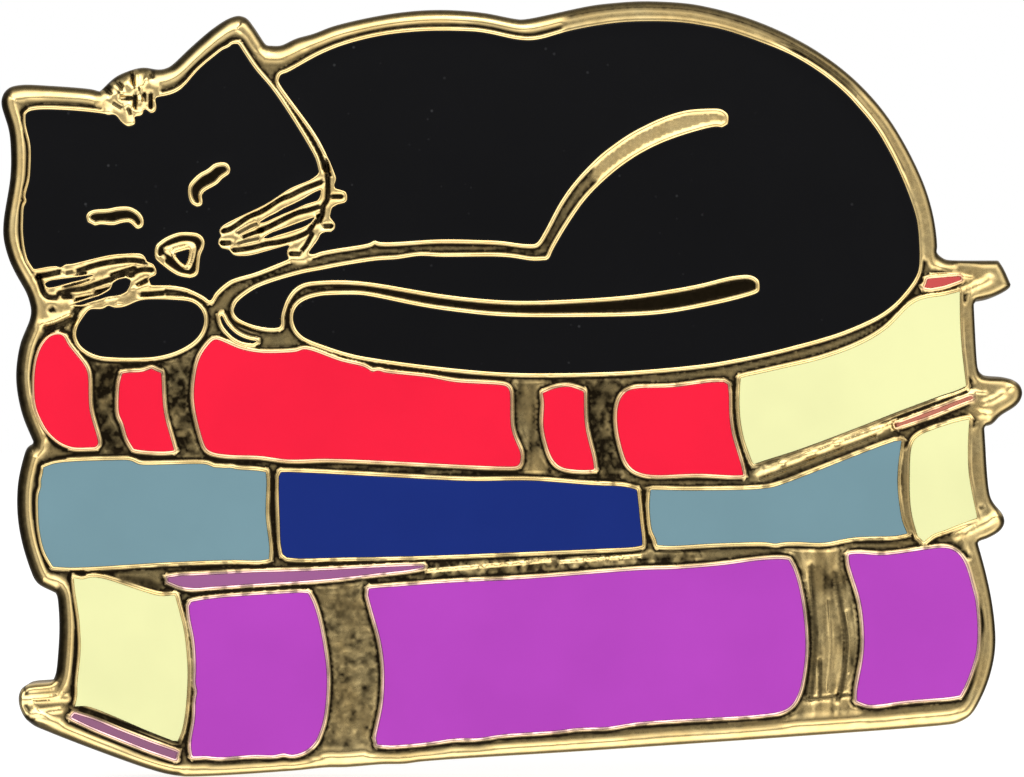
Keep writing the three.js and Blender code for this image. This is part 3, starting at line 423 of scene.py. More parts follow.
class Mat:
    def __init__(self, name):
        self.m = bpy.data.materials.new(name)
        self.m.use_nodes = True
        self.nt = self.m.node_tree
        self.bsdf = self.nt.nodes["Principled BSDF"]
        self.tc = self.nt.nodes.new("ShaderNodeTexCoord")

    def node(self, kind, **kw):
        n = self.nt.nodes.new(kind)
        for k, v in kw.items():
            if k.startswith("_"):
                setattr(n, k[1:], v)
            else:
                n.inputs[k.replace("__", " ")].default_value = v
        return n

    def link(self, a, b):
        self.nt.links.new(a, b)

    def noise(self, scale, detail=3.0, rough=0.5, stretch=None, coord="Object"):
        n = self.node("ShaderNodeTexNoise", Scale=scale, Detail=detail, Roughness=rough)
        src = self.tc.outputs[coord]
        if stretch:
            mp = self.node("ShaderNodeMapping")
            mp.inputs["Scale"].default_value = stretch
            self.link(src, mp.inputs["Vector"])
            src = mp.outputs["Vector"]
        self.link(src, n.inputs["Vector"])
        return n.outputs["Fac"]

    def voronoi(self, scale, feature="F1", stretch=None):
        n = self.node("ShaderNodeTexVoronoi", Scale=scale, _feature=feature)
        src = self.tc.outputs["Object"]
        if stretch:
            mp = self.node("ShaderNodeMapping")
            mp.inputs["Scale"].default_value = stretch
            self.link(src, mp.inputs["Vector"])
            src = mp.outputs["Vector"]
        self.link(src, n.inputs["Vector"])
        return n.outputs["Distance"]

    def ramp(self, fac, stops):
        r = self.node("ShaderNodeValToRGB")
        el = r.color_ramp.elements
        el[0].position, el[0].color = stops[0][0], stops[0][1]
        el[1].position, el[1].color = stops[-1][0], stops[-1][1]
        for p, c in stops[1:-1]:
            e = el.new(p)
            e.color = c
        self.link(fac, r.inputs["Fac"])
        return r.outputs["Color"]

    def range(self, fac, a, b, c, d):
        n = self.node("ShaderNodeMapRange")
        n.inputs["From Min"].default_value = a
        n.inputs["From Max"].default_value = b
        n.inputs["To Min"].default_value = c
        n.inputs["To Max"].default_value = d
        self.link(fac, n.inputs["Value"])
        return n.outputs["Result"]

    def mix(self, fac, a, b, mode="MIX"):
        n = self.node("ShaderNodeMix", _data_type="RGBA", _blend_type=mode)
        if isinstance(fac, (int, float)):
            n.inputs[0].default_value = fac
        else:
            self.link(fac, n.inputs[0])
        for sock, v in ((n.inputs[6], a), (n.inputs[7], b)):
            if isinstance(v, tuple):
                sock.default_value = v
            else:
                self.link(v, sock)
        return n.outputs[2]

    def math(self, op, a, b=0.0):
        n = self.node("ShaderNodeMath", _operation=op)
        for i, v in enumerate((a, b)):
            if isinstance(v, (int, float)):
                n.inputs[i].default_value = v
            else:
                self.link(v, n.inputs[i])
        return n.outputs[0]

    def bump(self, height, strength, distance, normal=None):
        n = self.node("ShaderNodeBump")
        n.inputs["Strength"].default_value = strength
        n.inputs["Distance"].default_value = distance
        self.link(height, n.inputs["Height"])
        if normal is not None:
            self.link(normal, n.inputs["Normal"])
        self.link(n.outputs["Normal"], self.bsdf.inputs["Normal"])
        return n.outputs["Normal"]


def gold(name, base=(1.0, 0.77, 0.36, 1.0), worn=(0.88, 0.63, 0.26, 1.0), dull=(0.013, 0.009, 0.0045, 1.0), rough=(0.12, 0.24)):
    """Bright plating on what stands proud, darkened towards brown from values stored on the mesh: partly patina in the
    hollows, partly painted shade where edges and hollows face away from the light.
    """
    m = Mat(name)
    b = m.bsdf
    b.inputs["Metallic"].default_value = 1.0
    wear = m.noise(900.0, 4.0, 0.6)
    fine = m.noise(6500.0, 3.0, 0.6)
    at_ = m.node("ShaderNodeAttribute", _attribute_name="dull")
    tone = m.math("ADD", at_.outputs["Fac"], m.math("MULTIPLY", at_.outputs["Fac"], m.range(m.noise(3600.0, 3.0, 0.65), 0.3, 0.7, -0.05, 0.05)))
    tone = m.range(tone, 0.0, 1.0, 0.0, 1.0)
    plating = m.mix(m.range(wear, 0.35, 0.68, 0.0, 1.0), worn, base)
    t_red = m.node("ShaderNodeAttribute", _attribute_name="tint_red")
    t_pur = m.node("ShaderNodeAttribute", _attribute_name="tint_purple")
    plating = m.mix(t_red.outputs["Fac"], plating, (1.0, 0.50, 0.36, 1.0))
    plating = m.mix(t_pur.outputs["Fac"], plating, (0.92, 0.50, 0.70, 1.0))
    m.link(m.mix(tone, plating, dull), b.inputs["Base Color"])
    r = m.math("ADD", m.range(fine, 0.3, 0.7, rough[0], rough[1]), m.range(wear, 0.3, 0.7, 0.03, -0.03))
    m.link(m.math("ADD", r, m.math("MULTIPLY", tone, 0.16)), b.inputs["Roughness"])
    h = m.math("ADD", m.noise(5200.0, 4.0, 0.65), m.math("MULTIPLY", m.noise(1500.0, 2.0, 0.5), 1.2))
    m.bump(h, 0.12, 0.00002)
    return m.m


def plated(name, base, dark, rough, brushed=False):
    m = Mat(name)
    b = m.bsdf
    b.inputs["Metallic"].default_value = 1.0
    n1 = m.noise(420.0, 4.0, 0.6)
    n2 = m.noise(2600.0, 3.0, 0.6, stretch=(1.0, 6.0, 1.0) if brushed else None)
    m.link(m.mix(m.range(n1, 0.35, 0.7, 0.0, 1.0), dark, base), b.inputs["Base Color"])
    m.link(m.range(n2, 0.3, 0.72, rough[0], rough[1]), b.inputs["Roughness"])
    scr = m.noise(900.0, 2.0, 0.5, stretch=(0.12, 3.0, 0.3))
    m.bump(m.math("ADD", n2, m.math("MULTIPLY", scr, 0.8)), 0.10, 0.00002)
    return m.m


def enamel(name, rgb, specks=0.0, warm=None, spec=0.5):
    m = Mat(name)
    b = m.bsdf
    c = lin(rgb)
    lo = lin([max(0, v * 0.985 - 0.5) for v in rgb])
    hi = lin([min(255, v * 1.01 + 0.5) for v in rgb])
    cloud = m.noise(240.0, 3.0, 0.55)
    col = m.mix(m.range(cloud, 0.35, 0.65, 0.0, 1.0), lo, hi)
    if specks > 0:
        v = m.voronoi(1900.0)
        dot = m.range(v, 0.04, 0.11, specks, 0.0)
        keep = m.range(m.noise(330.0, 2.0, 0.5), 0.50, 0.62, 0.0, 1.0)
        col = m.mix(m.math("MULTIPLY", dot, keep), col, lin([min(255, v_ + 70) for v_ in rgb]))
    m.link(col, b.inputs["Base Color"])
    b.inputs["Metallic"].default_value = 0.0
    m.link(m.range(m.noise(1500.0, 3.0, 0.6), 0.3, 0.7, 0.06, 0.10), b.inputs["Roughness"])
    b.inputs["IOR"].default_value = 1.5
    b.inputs["Specular IOR Level"].default_value = 0.15
    h = m.math("ADD", m.noise(700.0, 2.0, 0.5), m.math("MULTIPLY", m.noise(3800.0, 2.0, 0.5), 0.25))
    m.bump(h, 0.05, 0.00002)
    return m.m


M_GOLD = gold("gold_plating")
M_POST = plated("post_gold", (0.93, 0.72, 0.38, 1), (0.74, 0.55, 0.28, 1), (0.20, 0.36))
M_CLUTCH = plated("clutch_brass", (0.98, 0.70, 0.30, 1), (0.80, 0.54, 0.22, 1), (0.16, 0.32))
M_WING = plated("wing_brass", (0.95, 0.70, 0.33, 1), (0.76, 0.53, 0.24, 1), (0.20, 0.36), brushed=True)

COLOURS = {
    "red_cover_upper": ((206, 84, 80), 0.0), "red_cover_lower": ((192, 118, 98), 0.0),
    "black": ((12, 12, 14), 0.35),
    "red": ((249, 30, 62), 0.0),
    "cream": ((242, 243, 180), 0.0),
    "grey_blue": ((119, 153, 163), 0.0),
    "navy": ((22, 44, 122), 0.0),
    "purple": ((183, 70, 193), 0.0),
    "mauve_up": ((160, 97, 147), 0.0),
    "mauve_low": ((150, 100, 130), 0.0),
    "crescent": ((124, 156, 166), 0.0),
}
M_EN = {k: enamel("enamel_" + k, rgb, sp) for k, (rgb, sp) in COLOURS.items()}


# ------------------------------------------------------------------ the struck plate
PX = 0.0314


def at(px, py):
    """A place in the picture plane, from columns and rows counted in steps of PX."""
    return ((px - 511.5) * PX, (388.5 - py) * PX)


def places(*p):
    return [at(a, b) for a, b in p]


raw = face_loops(NODES["base_plate"], FACE)
raw.sort(key=lambda p: -abs(area(p)))
outer_raw = raw[0]
cells_raw = raw[1:]
OUTER = smooth_loop(outer_raw) * 1.0036      # the rim's widest line lies behind the line tops


def of_books(p):
    """Cells of the books: straight sided with true corners, unlike the cat's."""
    c = p.mean(0)
    return c[1] < -0.5 and p[:, 1].max() < 1.9 or (p[:, 0].min() > 7.0 and p[:, 1].max() < 4.0)


CELLS = [smooth_loop(p, crisp=of_books(p)) for p in cells_raw]
B_OUT = Boundary([(OUTER, 1)])
B_CELL = Boundary([(c, 1) for c in CELLS])

# bare raised bands, where the plate is level with the line tops and its skin is pebbled or combed
# (outline, kind, share of texture, level of painted shade)
BANDS = [
    (places((296, 655), (296, 560), (384, 560), (392, 640), (392, 770), (296, 770)), "pebble", 1.9, 0.70),
    (places((772, 520), (862, 520), (862, 720), (772, 720)), "comb", 1.7, 0.52),
    (places((424, 540), (545, 540), (545, 580), (424, 580)), "pebble", 2.4, 0.86),
    (places((545, 540), (702, 540), (702, 580), (545, 580)), "pebble", 2.2, 0.80),
    (places((80, 330), (124, 330), (124, 560), (80, 560)), "pebble", 1.6, 0.98),
    (places((154, 330), (198, 330), (198, 560), (154, 560)), "pebble", 1.9, 0.88),
    (places((500, 360), (552, 360), (552, 560), (500, 560)), "comb", 1.2, 0.72),
    (places((584, 360), (622, 360), (622, 560), (584, 560)), "pebble", 1.6, 0.98),
]

# places crowded with fine lines: the metal between the cut lines stays level with the line tops
CROWDED = [
    places((216, 230), (290, 186), (318, 168), (352, 190), (352, 240), (305, 262), (214, 262)),
    places((32, 268), (90, 252), (165, 256), (165, 296), (130, 302), (100, 306), (76, 318), (58, 332), (36, 330), (34, 300)),
    places((98, 96), (112, 74), (140, 64), (158, 66), (160, 92), (158, 130), (108, 130)),
]


# stretches where the line tops are beaded rather than smooth
LUMPY = [
    places((28, 245), (165, 245), (165, 312), (28, 345)),
    places((95, 60), (165, 60), (165, 130), (95, 130)),
    places((110, 360), (175, 360), (175, 376), (110, 376)),
    places((535, 374), (740, 374), (740, 392), (535, 392)),
    places((744, 470), (870, 418), (930, 398), (985, 376), (1010, 420), (744, 500)),
    places((590, 470), (650, 476), (650, 492), (590, 486)),
    places((905, 415), (985, 395), (985, 432), (905, 436)),
    places((140, 566), (520, 545), (520, 580), (140, 604)),
    places((840, 540), (975, 532), (985, 552), (840, 560)),
    places((180, 742), (960, 700), (975, 720), (180, 777)),
]

# plain stretches of rim and line, worn nearly level, each given its own darkening, painted shade where it is high:
# (outline, share, dullness)
PLAIN = [
    (places((842, 84), (880, 130), (902, 170), (908, 200), (914, 262), (1012, 262), (1012, 120), (900, 50)), 0.95, 0.10),
    (places((957, 300), (1000, 300), (1000, 372), (966, 380), (961, 340)), 0.95, 0.40),
    (places((900, 448), (916, 440), (920, 536), (900, 536)), 0.95, 0.62),
    (places((966, 425), (1010, 425), (1010, 500), (972, 512)), 0.95, 0.45),
    (places((962, 556), (1015, 556), (1015, 700), (970, 696), (984, 620)), 0.90, 0.18),
    (places((600, 90), (760, 90), (760, 130), (700, 142), (650, 164), (610, 190), (590, 180)), 0.55, 0.0),
    (places((560, -5), (860, -5), (910, 90), (880, 116), (800, 52), (700, 36), (560, 44)), 0.80, 0.42),
    # painted shade: the dark hollow under the top pages, and the one under the bottom pages
    (places((748, 458), (860, 416), (966, 380), (974, 391), (862, 432), (757, 474)), 0.9, 0.90),
    (places((760, 477), (815, 457), (862, 440), (900, 426), (902, 437), (862, 451), (800, 476), (762, 488)), 0.2, 0.95),
    (places((68, 702), (80, 700), (186, 738), (186, 752), (120, 730), (68, 712)), 0.95, 1.0),
    (places((104, 570), (150, 574), (166, 584), (160, 594), (120, 586)), 0.3, 0.95),
    # the books' projecting tips
    (places((940, 262), (1020, 255), (1012, 300), (972, 302), (968, 286), (940, 272)), 0.8, 0.42),
    (places((974, 376), (1030, 372), (1030, 420), (985, 430), (966, 412), (970, 396)), 0.8, 0.42),
    (places((960, 530), (980, 506), (1010, 505), (1008, 545), (960, 552)), 0.8, 0.45),
]
# where the upper outer edge carries painted shade
TOP_RIGHT = places((555, -30), (930, -30), (930, 140), (850, 100), (700, 60), (555, 60))
# the bottom edge, which is left without the painted shade of the outer edge, so it stays bright right down to the side
# wall
FOOT = places((176, 735), (560, 712), (960, 680), (1000, 680), (1000, 800), (176, 800))
# lines whose hollow keeps its painted shade however wide it gets
DARK = [
    places((330, 266), (450, 278), (560, 290), (700, 278), (770, 268), (770, 302), (700, 314), (600, 324), (500, 320), (400, 306), (330, 298)),
    places((184, 158), (236, 158), (236, 212), (184, 212)), places((80, 200), (146, 200), (150, 232), (80, 232)),
]
# tips whose faces are nearly level
TIPS = [
    places((950, 258), (1020, 250), (1012, 300), (970, 302), (960, 275)),
    places((974, 376), (1030, 372), (1030, 420), (985, 430), (968, 412)),
    places((975, 506), (1010, 500), (1010, 548), (962, 552)),
    places((15, 672), (62, 676), (62, 725), (15, 725)),
]
# everything below the cat
BOOKS = places((-20, 330), (60, 318), (75, 345), (140, 366), (205, 345), (330, 352), (450, 375), (600, 381), (740, 375), (850, 345), (930, 300),
               (975, 265), (1040, 240), (1040, 800), (-20, 800))

# fine marks of the face
FINE = CROWDED + [
    places((80, 200), (146, 200), (150, 232), (80, 232)),
    places((184, 158), (236, 158), (236, 212), (184, 212)),
    places((150, 228), (208, 228), (208, 282), (150, 282)),
    places((200, 290), (262, 318), (262, 350), (228, 340)),
]

NOSE = places((150, 230), (210, 230), (210, 280), (150, 280))

# (path, half width in PX, depth in mm; minus for a ridge)
DEEP, MID, SOFT = 0.115, 0.075, 0.045
MARKS = [
    # beside the right whiskers
    (((223, 231), (230, 229), (238, 224), (249, 216.5), (262, 211), (279, 200), (290, 195.5), (301, 190), (312, 185.5), (321, 182)), 2.3, DEEP),
    (((238, 233), (250, 226.5), (258, 223.5)), 1.8, MID),
    (((243, 237), (249, 234.5), (261, 230)), 1.8, DEEP),
    (((259, 230.5), (268, 227), (275, 223.5), (286, 218), (296.5, 213), (308.5, 210), (318, 207)), 2.3, DEEP),
    (((221.5, 243), (230, 243)), 2.3, DEEP), (((238, 243.5), (246, 241), (258, 238.5)), 1.7, MID),
    (((233, 250), (245, 248.7), (256, 246.5), (265.5, 244), (279, 242), (292, 238.7), (301, 235.3), (309, 231), (315, 221), (319, 216)), 2.3, DEEP),
    (((291, 253.8), (299, 253.8)), 2.2, DEEP),
    (((312, 234), (306, 245), (302, 250)), 2.0, DEEP),
    (((332.5, 196.5), (341, 196.5)), 2.1, DEEP), (((324, 226), (331, 226)), 2.1, DEEP),
    (((327, 160), (327.5, 180), (327.5, 198), (323, 206), (322, 214), (319, 222)), 2.3, DEEP),
    # left whiskers
    (((37, 276.5), (50, 274), (59, 272)), 2.5, DEEP), (((66, 273), (72, 272)), 2.0, MID),
    (((78, 271), (94, 265.5), (111, 262), (127.5, 260.3), (139, 261), (145, 262.5)), 2.5, DEEP),
    (((70, 279), (84, 273.5)), 2.1, DEEP),
    (((59, 293.5), (71, 290), (82, 288.7), (93, 285.3), (105.3, 281), (117.6, 277), (127.6, 275.3), (133, 274.2)), 2.6, DEEP),
    (((136, 271), (143, 269.3), (151, 269.8)), 2.4, DEEP),
    (((138, 284.5), (146.5, 280)), 2.1, DEEP),
    (((63, 296.5), (71, 296.5)), 2.4, DEEP),
    (((84, 303), (77, 309), (72, 318), (66, 323), (56, 326.5), (46, 329.5)), 3.8, DEEP),
    (((51.6, 309.5), (52.4, 310.2)), 3.2, DEEP),
    (((38, 277), (40.5, 285), (43, 292), (48, 297), (56, 297.5)), 2.6, DEEP),
    (((141, 294.3), (150, 294), (163, 293)), 2.4, DEEP),
    (((236, 325), (258, 334)), 1.5, 0.05),
    (((41, 324), (52, 321.5), (60, 318), (69, 314)), 2.6, -0.05),
    (((130, 289), (140, 287), (150, 285)), 2.0, -0.02),
    (((112, 275), (124, 271), (134, 268)), 2.0, DEEP), (((64, 286), (76, 283), (88, 279)), 1.8, DEEP), (((96, 292), (108, 289), (118, 285)), 2.0, DEEP),
    (((76, 300), (90, 297), (101, 293.5)), 1.9, DEEP), (((108, 297), (120, 293), (128, 288)), 1.9, DEEP),
    # fur between the ears
    (((131.3, 73), (132.4, 79), (133.6, 84)), 1.7, DEEP), (((118, 82.5), (121.6, 87)), 1.7, MID), (((106.5, 89), (110.5, 93.5)), 1.6, MID),
    (((152, 68), (152, 76)), 2.2, MID), (((141, 88), (141.3, 94)), 1.6, SOFT),
    (((134.7, 95), (134.7, 107)), 1.9, DEEP), (((144, 94), (144, 101)), 1.9, DEEP), (((121, 98), (131, 98)), 2.0, DEEP),
    (((113, 103), (121, 108)), 2.0, MID), (((150.3, 94), (150.3, 107)), 1.9, DEEP), (((128, 109), (130, 114)), 1.6, MID),
    (((113, 84), (121.3, 92.2)), 2.0, -0.045), (((121.3, 93.3), (121.6, 93.6)), 4.0, -0.045), (((126.3, 83.3), (126.4, 83.6)), 3.6, -0.045),
    (((135.8, 72.2), (136.9, 89)), 2.4, -0.05), (((136, 87.8), (136.2, 88)), 3.8, -0.035),
    (((148, 73), (146, 79), (142.4, 86)), 2.2, -0.04), (((146.3, 78.9), (146.4, 79)), 3.4, -0.035),
    (((112.4, 94.4), (112.5, 94.6)), 2.4, -0.04), (((102.4, 92.2), (107, 99)), 1.9, -0.035),
    (((140.2, 99.4), (140.3, 99.6)), 3.0, -0.045), (((139.1, 112.2), (139.2, 112.4)), 2.8, -0.04), (((130.8, 122), (130.9, 122.3)), 3.4, -0.04),
    (((124.7, 107.8), (126.9, 104.4), (131.3, 105.6), (133, 111)), 1.7, -0.03), (((108.6, 111), (108.7, 111.2)), 2.8, -0.035),
    # nose: the inner triangle's broad edge
    (((167.5, 249.5), (175, 246.5), (184, 244.2), (191, 244.8), (193.4, 248), (192.6, 255), (190.6, 261), (188.5, 266), (186, 267), (181.5, 263.2), (175.5, 257), (169.5, 252)), 2.5, -0.048),
    (((167.5, 249.5), (167.7, 249.8)), 3.2, -0.03),
    # the thin edge of the top book's lower cover
    (((757, 473), (783, 463.5), (810, 454), (837, 443.5), (873, 430.5), (893, 423.5)), 2.8, -0.037), (((893, 428.5), (905, 424), (935, 412)), 1.8, -0.024),
    (((760, 479.5), (786, 470), (813, 460), (840, 450), (876, 436.5)), 1.7, MID),
    (((764.8, 470.2), (765.2, 470)), 4.4, -0.058), (((783, 463.4), (783.4, 463.2)), 4.6, -0.061), (((807, 454.6), (812, 452.8)), 4.2, -0.055),
    (((836, 443.8), (838, 443)), 4.4, -0.058), (((872, 431), (880, 428)), 4.0, -0.053), (((893, 424), (896, 423)), 3.6, -0.047),
    (((427, 571), (480, 566.5), (550, 560.5)), 1.8, -0.026), (((560, 562), (600, 559), (640, 556)), 1.6, -0.020),
    # streaks in the bottom book's right-hand band
    (((811, 566), (814, 610), (815, 650), (811, 698)), 3.0, MID), (((835, 572), (841, 606), (846, 640), (843, 680), (838, 700)), 3.2, MID),
    (((829, 600), (831, 640), (829, 690)), 1.6, SOFT), (((847, 612), (851, 640), (849, 672)), 1.8, SOFT), (((820, 660), (820, 696)), 2.4, MID),
    (((806, 700), (826, 698), (848, 695)), 2.2, MID),
    # cover edges at the right
    (((967, 289), (979, 284), (989, 279)), 4.2, -0.055), (((932, 275), (952, 275), (972, 277.5)), 1.8, -0.024),
    (((985, 403), (1003, 394)), 4.0, -0.053), (((1010, 388), (1012, 386)), 4.0, -0.053),
    (((970, 391), (986, 393)), 2.0, -0.026), (((980, 414), (987, 414)), 4.2, -0.055), (((965, 388), (950, 394), (938, 398.5)), 2.0, -0.026),
    (((957, 536), (976, 527), (993, 518.5)), 4.2, -0.055), (((996, 516), (997, 516)), 4.4, -0.058),
    # spine foot at the left
    (((29, 688), (53, 685)), 3.4, -0.045), (((24, 700), (66, 698)), 3.6, -0.047), (((33, 714), (60, 710)), 3.2, -0.042), (((22, 692), (21, 704), (26, 713)), 2.4, -0.032),
]


def soft_inside(q, poly, edge):
    """1 well inside the outline, 0 outside it, eased over the given width."""
    poly = np.array(poly)
    lo, hi = poly.min(0), poly.max(0)
    out = np.zeros(len(q))
    k = np.where((q[:, 0] > lo[0]) & (q[:, 0] < hi[0]) & (q[:, 1] > lo[1]) & (q[:, 1] < hi[1]))[0]
    k = k[inside(q[k], poly)] if len(k) else k
    if len(k):
        d, _ = polyline_distance(q[k], np.vstack([poly, poly[:1]]))
        out[k] = smoothstep(d, 0.0, edge)
    return out


def relief(q, dc, do, inward):
    """How far the plate's front lies below the line tops, in mm, at points q (x, z), and how far its plating is
    darkened, partly as patina in the hollows and partly as painted shade.
    inward: the direction from the nearest place of the outer edge into the metal."""
    x, z = q[:, 0], q[:, 1]
    dc, do = np.maximum(dc, 0.0), np.maximum(do, 0.0)
    width = dc + do
    near = do < 1.2
    to_left = near * smoothstep(inward[:, 0], 0.30, 0.75)        # edges that face left
    to_right = near * smoothstep(-inward[:, 0], 0.35, 0.80)
    to_top = near * smoothstep(-inward[:, 1], 0.35, 0.80)
    to_foot = near * smoothstep(inward[:, 1], 0.35, 0.80) * soft_inside(q, FOOT, 0.3)
    s = np.clip(width / 0.92, 0.50, 1.0)          # narrow rims take the same shape, smaller
    s = s + (1 - s) * 0.8 * to_left
    u = do / s
    # rounded edge along every cell, finer round the face's small marks
    fine = np.zeros(len(q))
    for poly in FINE:
        fine = np.maximum(fine, soft_inside(q, poly, 0.08))
    b = np.clip(dc / (BEAD * (1 - 0.10 * fine - 0.28 * to_left)), 0, 1)
    drop_c = np.where(b < 0.5, EDGE_DROP, 0.0) * (1 - np.sin(math.pi * b))
    # rounded outer rim, tighter on the right and on the projecting tips
    tips = np.zeros(len(q))
    for poly in TIPS:
        tips = np.maximum(tips, soft_inside(q, poly, 0.20))
    reach = RIM_WIDTH * (1 - 0.50 * np.maximum(to_right, tips) + 0.34 * to_top * (1 - tips))
    e = np.clip(1 - u / reach, 0, 1)
    drop_o = RIM_DROP * (1 - 0.25 * np.maximum(to_right, tips)) * (1 - 0.52 * to_foot) * np.sqrt(s) * (1 - np.sqrt(np.maximum(1 - e * e, 0)))
    crowd = np.zeros(len(q))
    for poly in CROWDED:
        crowd[inside(q, poly)] = 1.0
    vc = np.where(b < 0.5, 0.0, 1 - np.sin(math.pi * np.minimum(b, 1.0)))
    shift = -0.02 * to_left - 0.11 * to_foot
    vo = smoothstep(u, RIM_WIDTH + 0.015 + shift, RIM_WIDTH + 0.13 + shift)
    hollow = np.minimum(vc, vo)
    t = VALLEY_DROP * hollow * (1 - crowd) + drop_c + drop_o
    wide = smoothstep(np.minimum(dc, do), 0.17, 0.30)
    dark = np.zeros(len(q))
    for poly in DARK:
        dark = np.maximum(dark, soft_inside(q, poly, 0.15))
    # darkening in the hollows behind the rounded edges, finer round the face's marks: partly patina, partly painted
    # shade
    dull = 1.06 * smoothstep(hollow, 0.12 + 0.16 * fine, 0.75 + 0.17 * fine) * (1.0 - 0.36 * wide * (1 - dark)) * (1 - 0.80 * crowd)
    # more painted shade in the nose
    dull[inside(q, NOSE)] *= 1.5
    # the books' lines are darker than the cat's: in random patches, and with painted shade in dashes along the beaded
    # tops, which breaks up their highlights
    books = soft_inside(q, BOOKS, 0.25)
    lumpy = np.full(len(q), 0.30)
    for poly in LUMPY:
        lumpy[inside(q, poly)] = 1.0
    patchy = smoothstep(N3(x, z, 0.42) + 0.5 * N1(x, z, 0.9), -0.25, 0.35)
    dashes = smoothstep(N2(x, z, 0.20), -0.10, 0.25)
    dull = np.maximum(dull, books * np.where(lumpy > 0.5, 0.62 * dashes, 0.05 + 0.36 * patchy) * (1 - wide) * (1 - to_left) * (1 - to_foot * (do < 0.46)))
    # plain stretches take their own level of darkening, painted shade where it is high
    for poly, share, tone in PLAIN:
        m = soft_inside(q, poly, 0.20)
        t -= VALLEY_DROP * hollow * (1 - crowd) * m * share
        dull = dull * (1 - m) + tone * m
    # painted shade on the steep outer edge: a thin dark line all round, a broad band where it faces left, away from the
    # light
    w0 = 0.09 + (0.13 + 0.07 * books) * to_left
    edge = 1 - smoothstep(do, w0, w0 + 0.07 + 0.10 * to_top + 0.13 * to_right)
    dull = np.maximum(dull, (0.80 + 0.12 * to_left) * edge * (1 - to_foot))
    # painted shade along the right-hand rim
    dull = np.maximum(dull, 0.30 * to_right * (1 - tips) * (do < 0.42))
    # painted shade along the upper right outer edge
    dull = np.maximum(dull, 0.97 * to_top * soft_inside(q, TOP_RIGHT, 0.5) * smoothstep(do, 0.09, 0.17) * (1 - smoothstep(do, 0.26, 0.42)))
    # bands
    for poly, kind, share, tone in BANDS:
        m = inside(q, poly)
        if not m.any():
            continue
        lift = smoothstep(dc, 0.19, 0.27) * smoothstep(u, 0.5, 0.75) * m
        t -= VALLEY_DROP * 0.85 * lift
        if kind == "pebble":
            d1, d2 = cellular(x, z, 0.17, 5)
            n = 0.020 * np.clip(d1, 0, 0.8) + 0.010 * N2(x, z, 0.12)
        else:
            n = 0.024 * N3(x, z * 0.16, 0.10) + 0.005 * N2(x, z, 0.16)
        t += share * n * lift
        speck = 0.42 * N2(x, z, 0.13) + 0.30 * N4(x, z, 0.20) if kind == "pebble" else 0.95 * N3(x, z * 0.14, 0.12) + 0.25 * N2(x, z, 0.16)
        # painted shade on the bands, standing in for the dark surroundings they mirror, with painted specks of
        # highlight and shade
        dull = dull * (1 - lift) + np.clip(tone + speck * share * 0.6, 0, 1) * lift
    # cut and raised marks
    for pts, w, depth in MARKS:
        line = np.array([at(*p) for p in pts])
        if len(line) > 2:
            line = smooth_line(line, 0.1)
        lo, hi = line.min(0) - 0.35, line.max(0) + 0.35
        k = np.where((x > lo[0]) & (x < hi[0]) & (z > lo[1]) & (z < hi[1]))[0]
        if len(k):
            d, share = polyline_distance(q[k], line)
            g = (1 + (d / (w * PX * 1.05)) ** 2) ** -1.5 if depth > 0 else np.exp(-(d / (w * PX)) ** 2)
            g = g * smoothstep(dc[k], 0.02, 0.08)
            if depth < 0:
                g = g * (1 + 0.55 * lumpy[k] * N2(x[k], z[k], 0.17))
            t[k] += depth * g
            # painted shade down the cut marks; the raised marks are cleared of the darkening so their plating shows
            # bright
            if depth > 0:
                dull[k] = np.maximum(dull[k], np.clip(1.4 * depth / DEEP, 0, 1) * smoothstep(g, 0.22 - 0.10 * crowd[k], 0.62 - 0.16 * crowd[k]))
            else:
                dull[k] *= 1 - 0.95 * smoothstep(g, 0.1, 0.45)
    # the skin is never quite even, and the line tops swell and thin along their length
    top = np.exp(-((dc - 0.07) / 0.07) ** 2)
    t += 0.004 * N1(x, z, 0.62) + 0.020 * lumpy * N2(x, z, 0.15) * top + 0.006 * N3(x, z, 0.33) * top + 0.002 * N4(x, z, 0.13)
    rim = np.exp(-((u - RIM_WIDTH + 0.06) / 0.16) ** 2)
    t += 0.016 * lumpy * N4(x, z, 0.21) * rim
    return t, dull


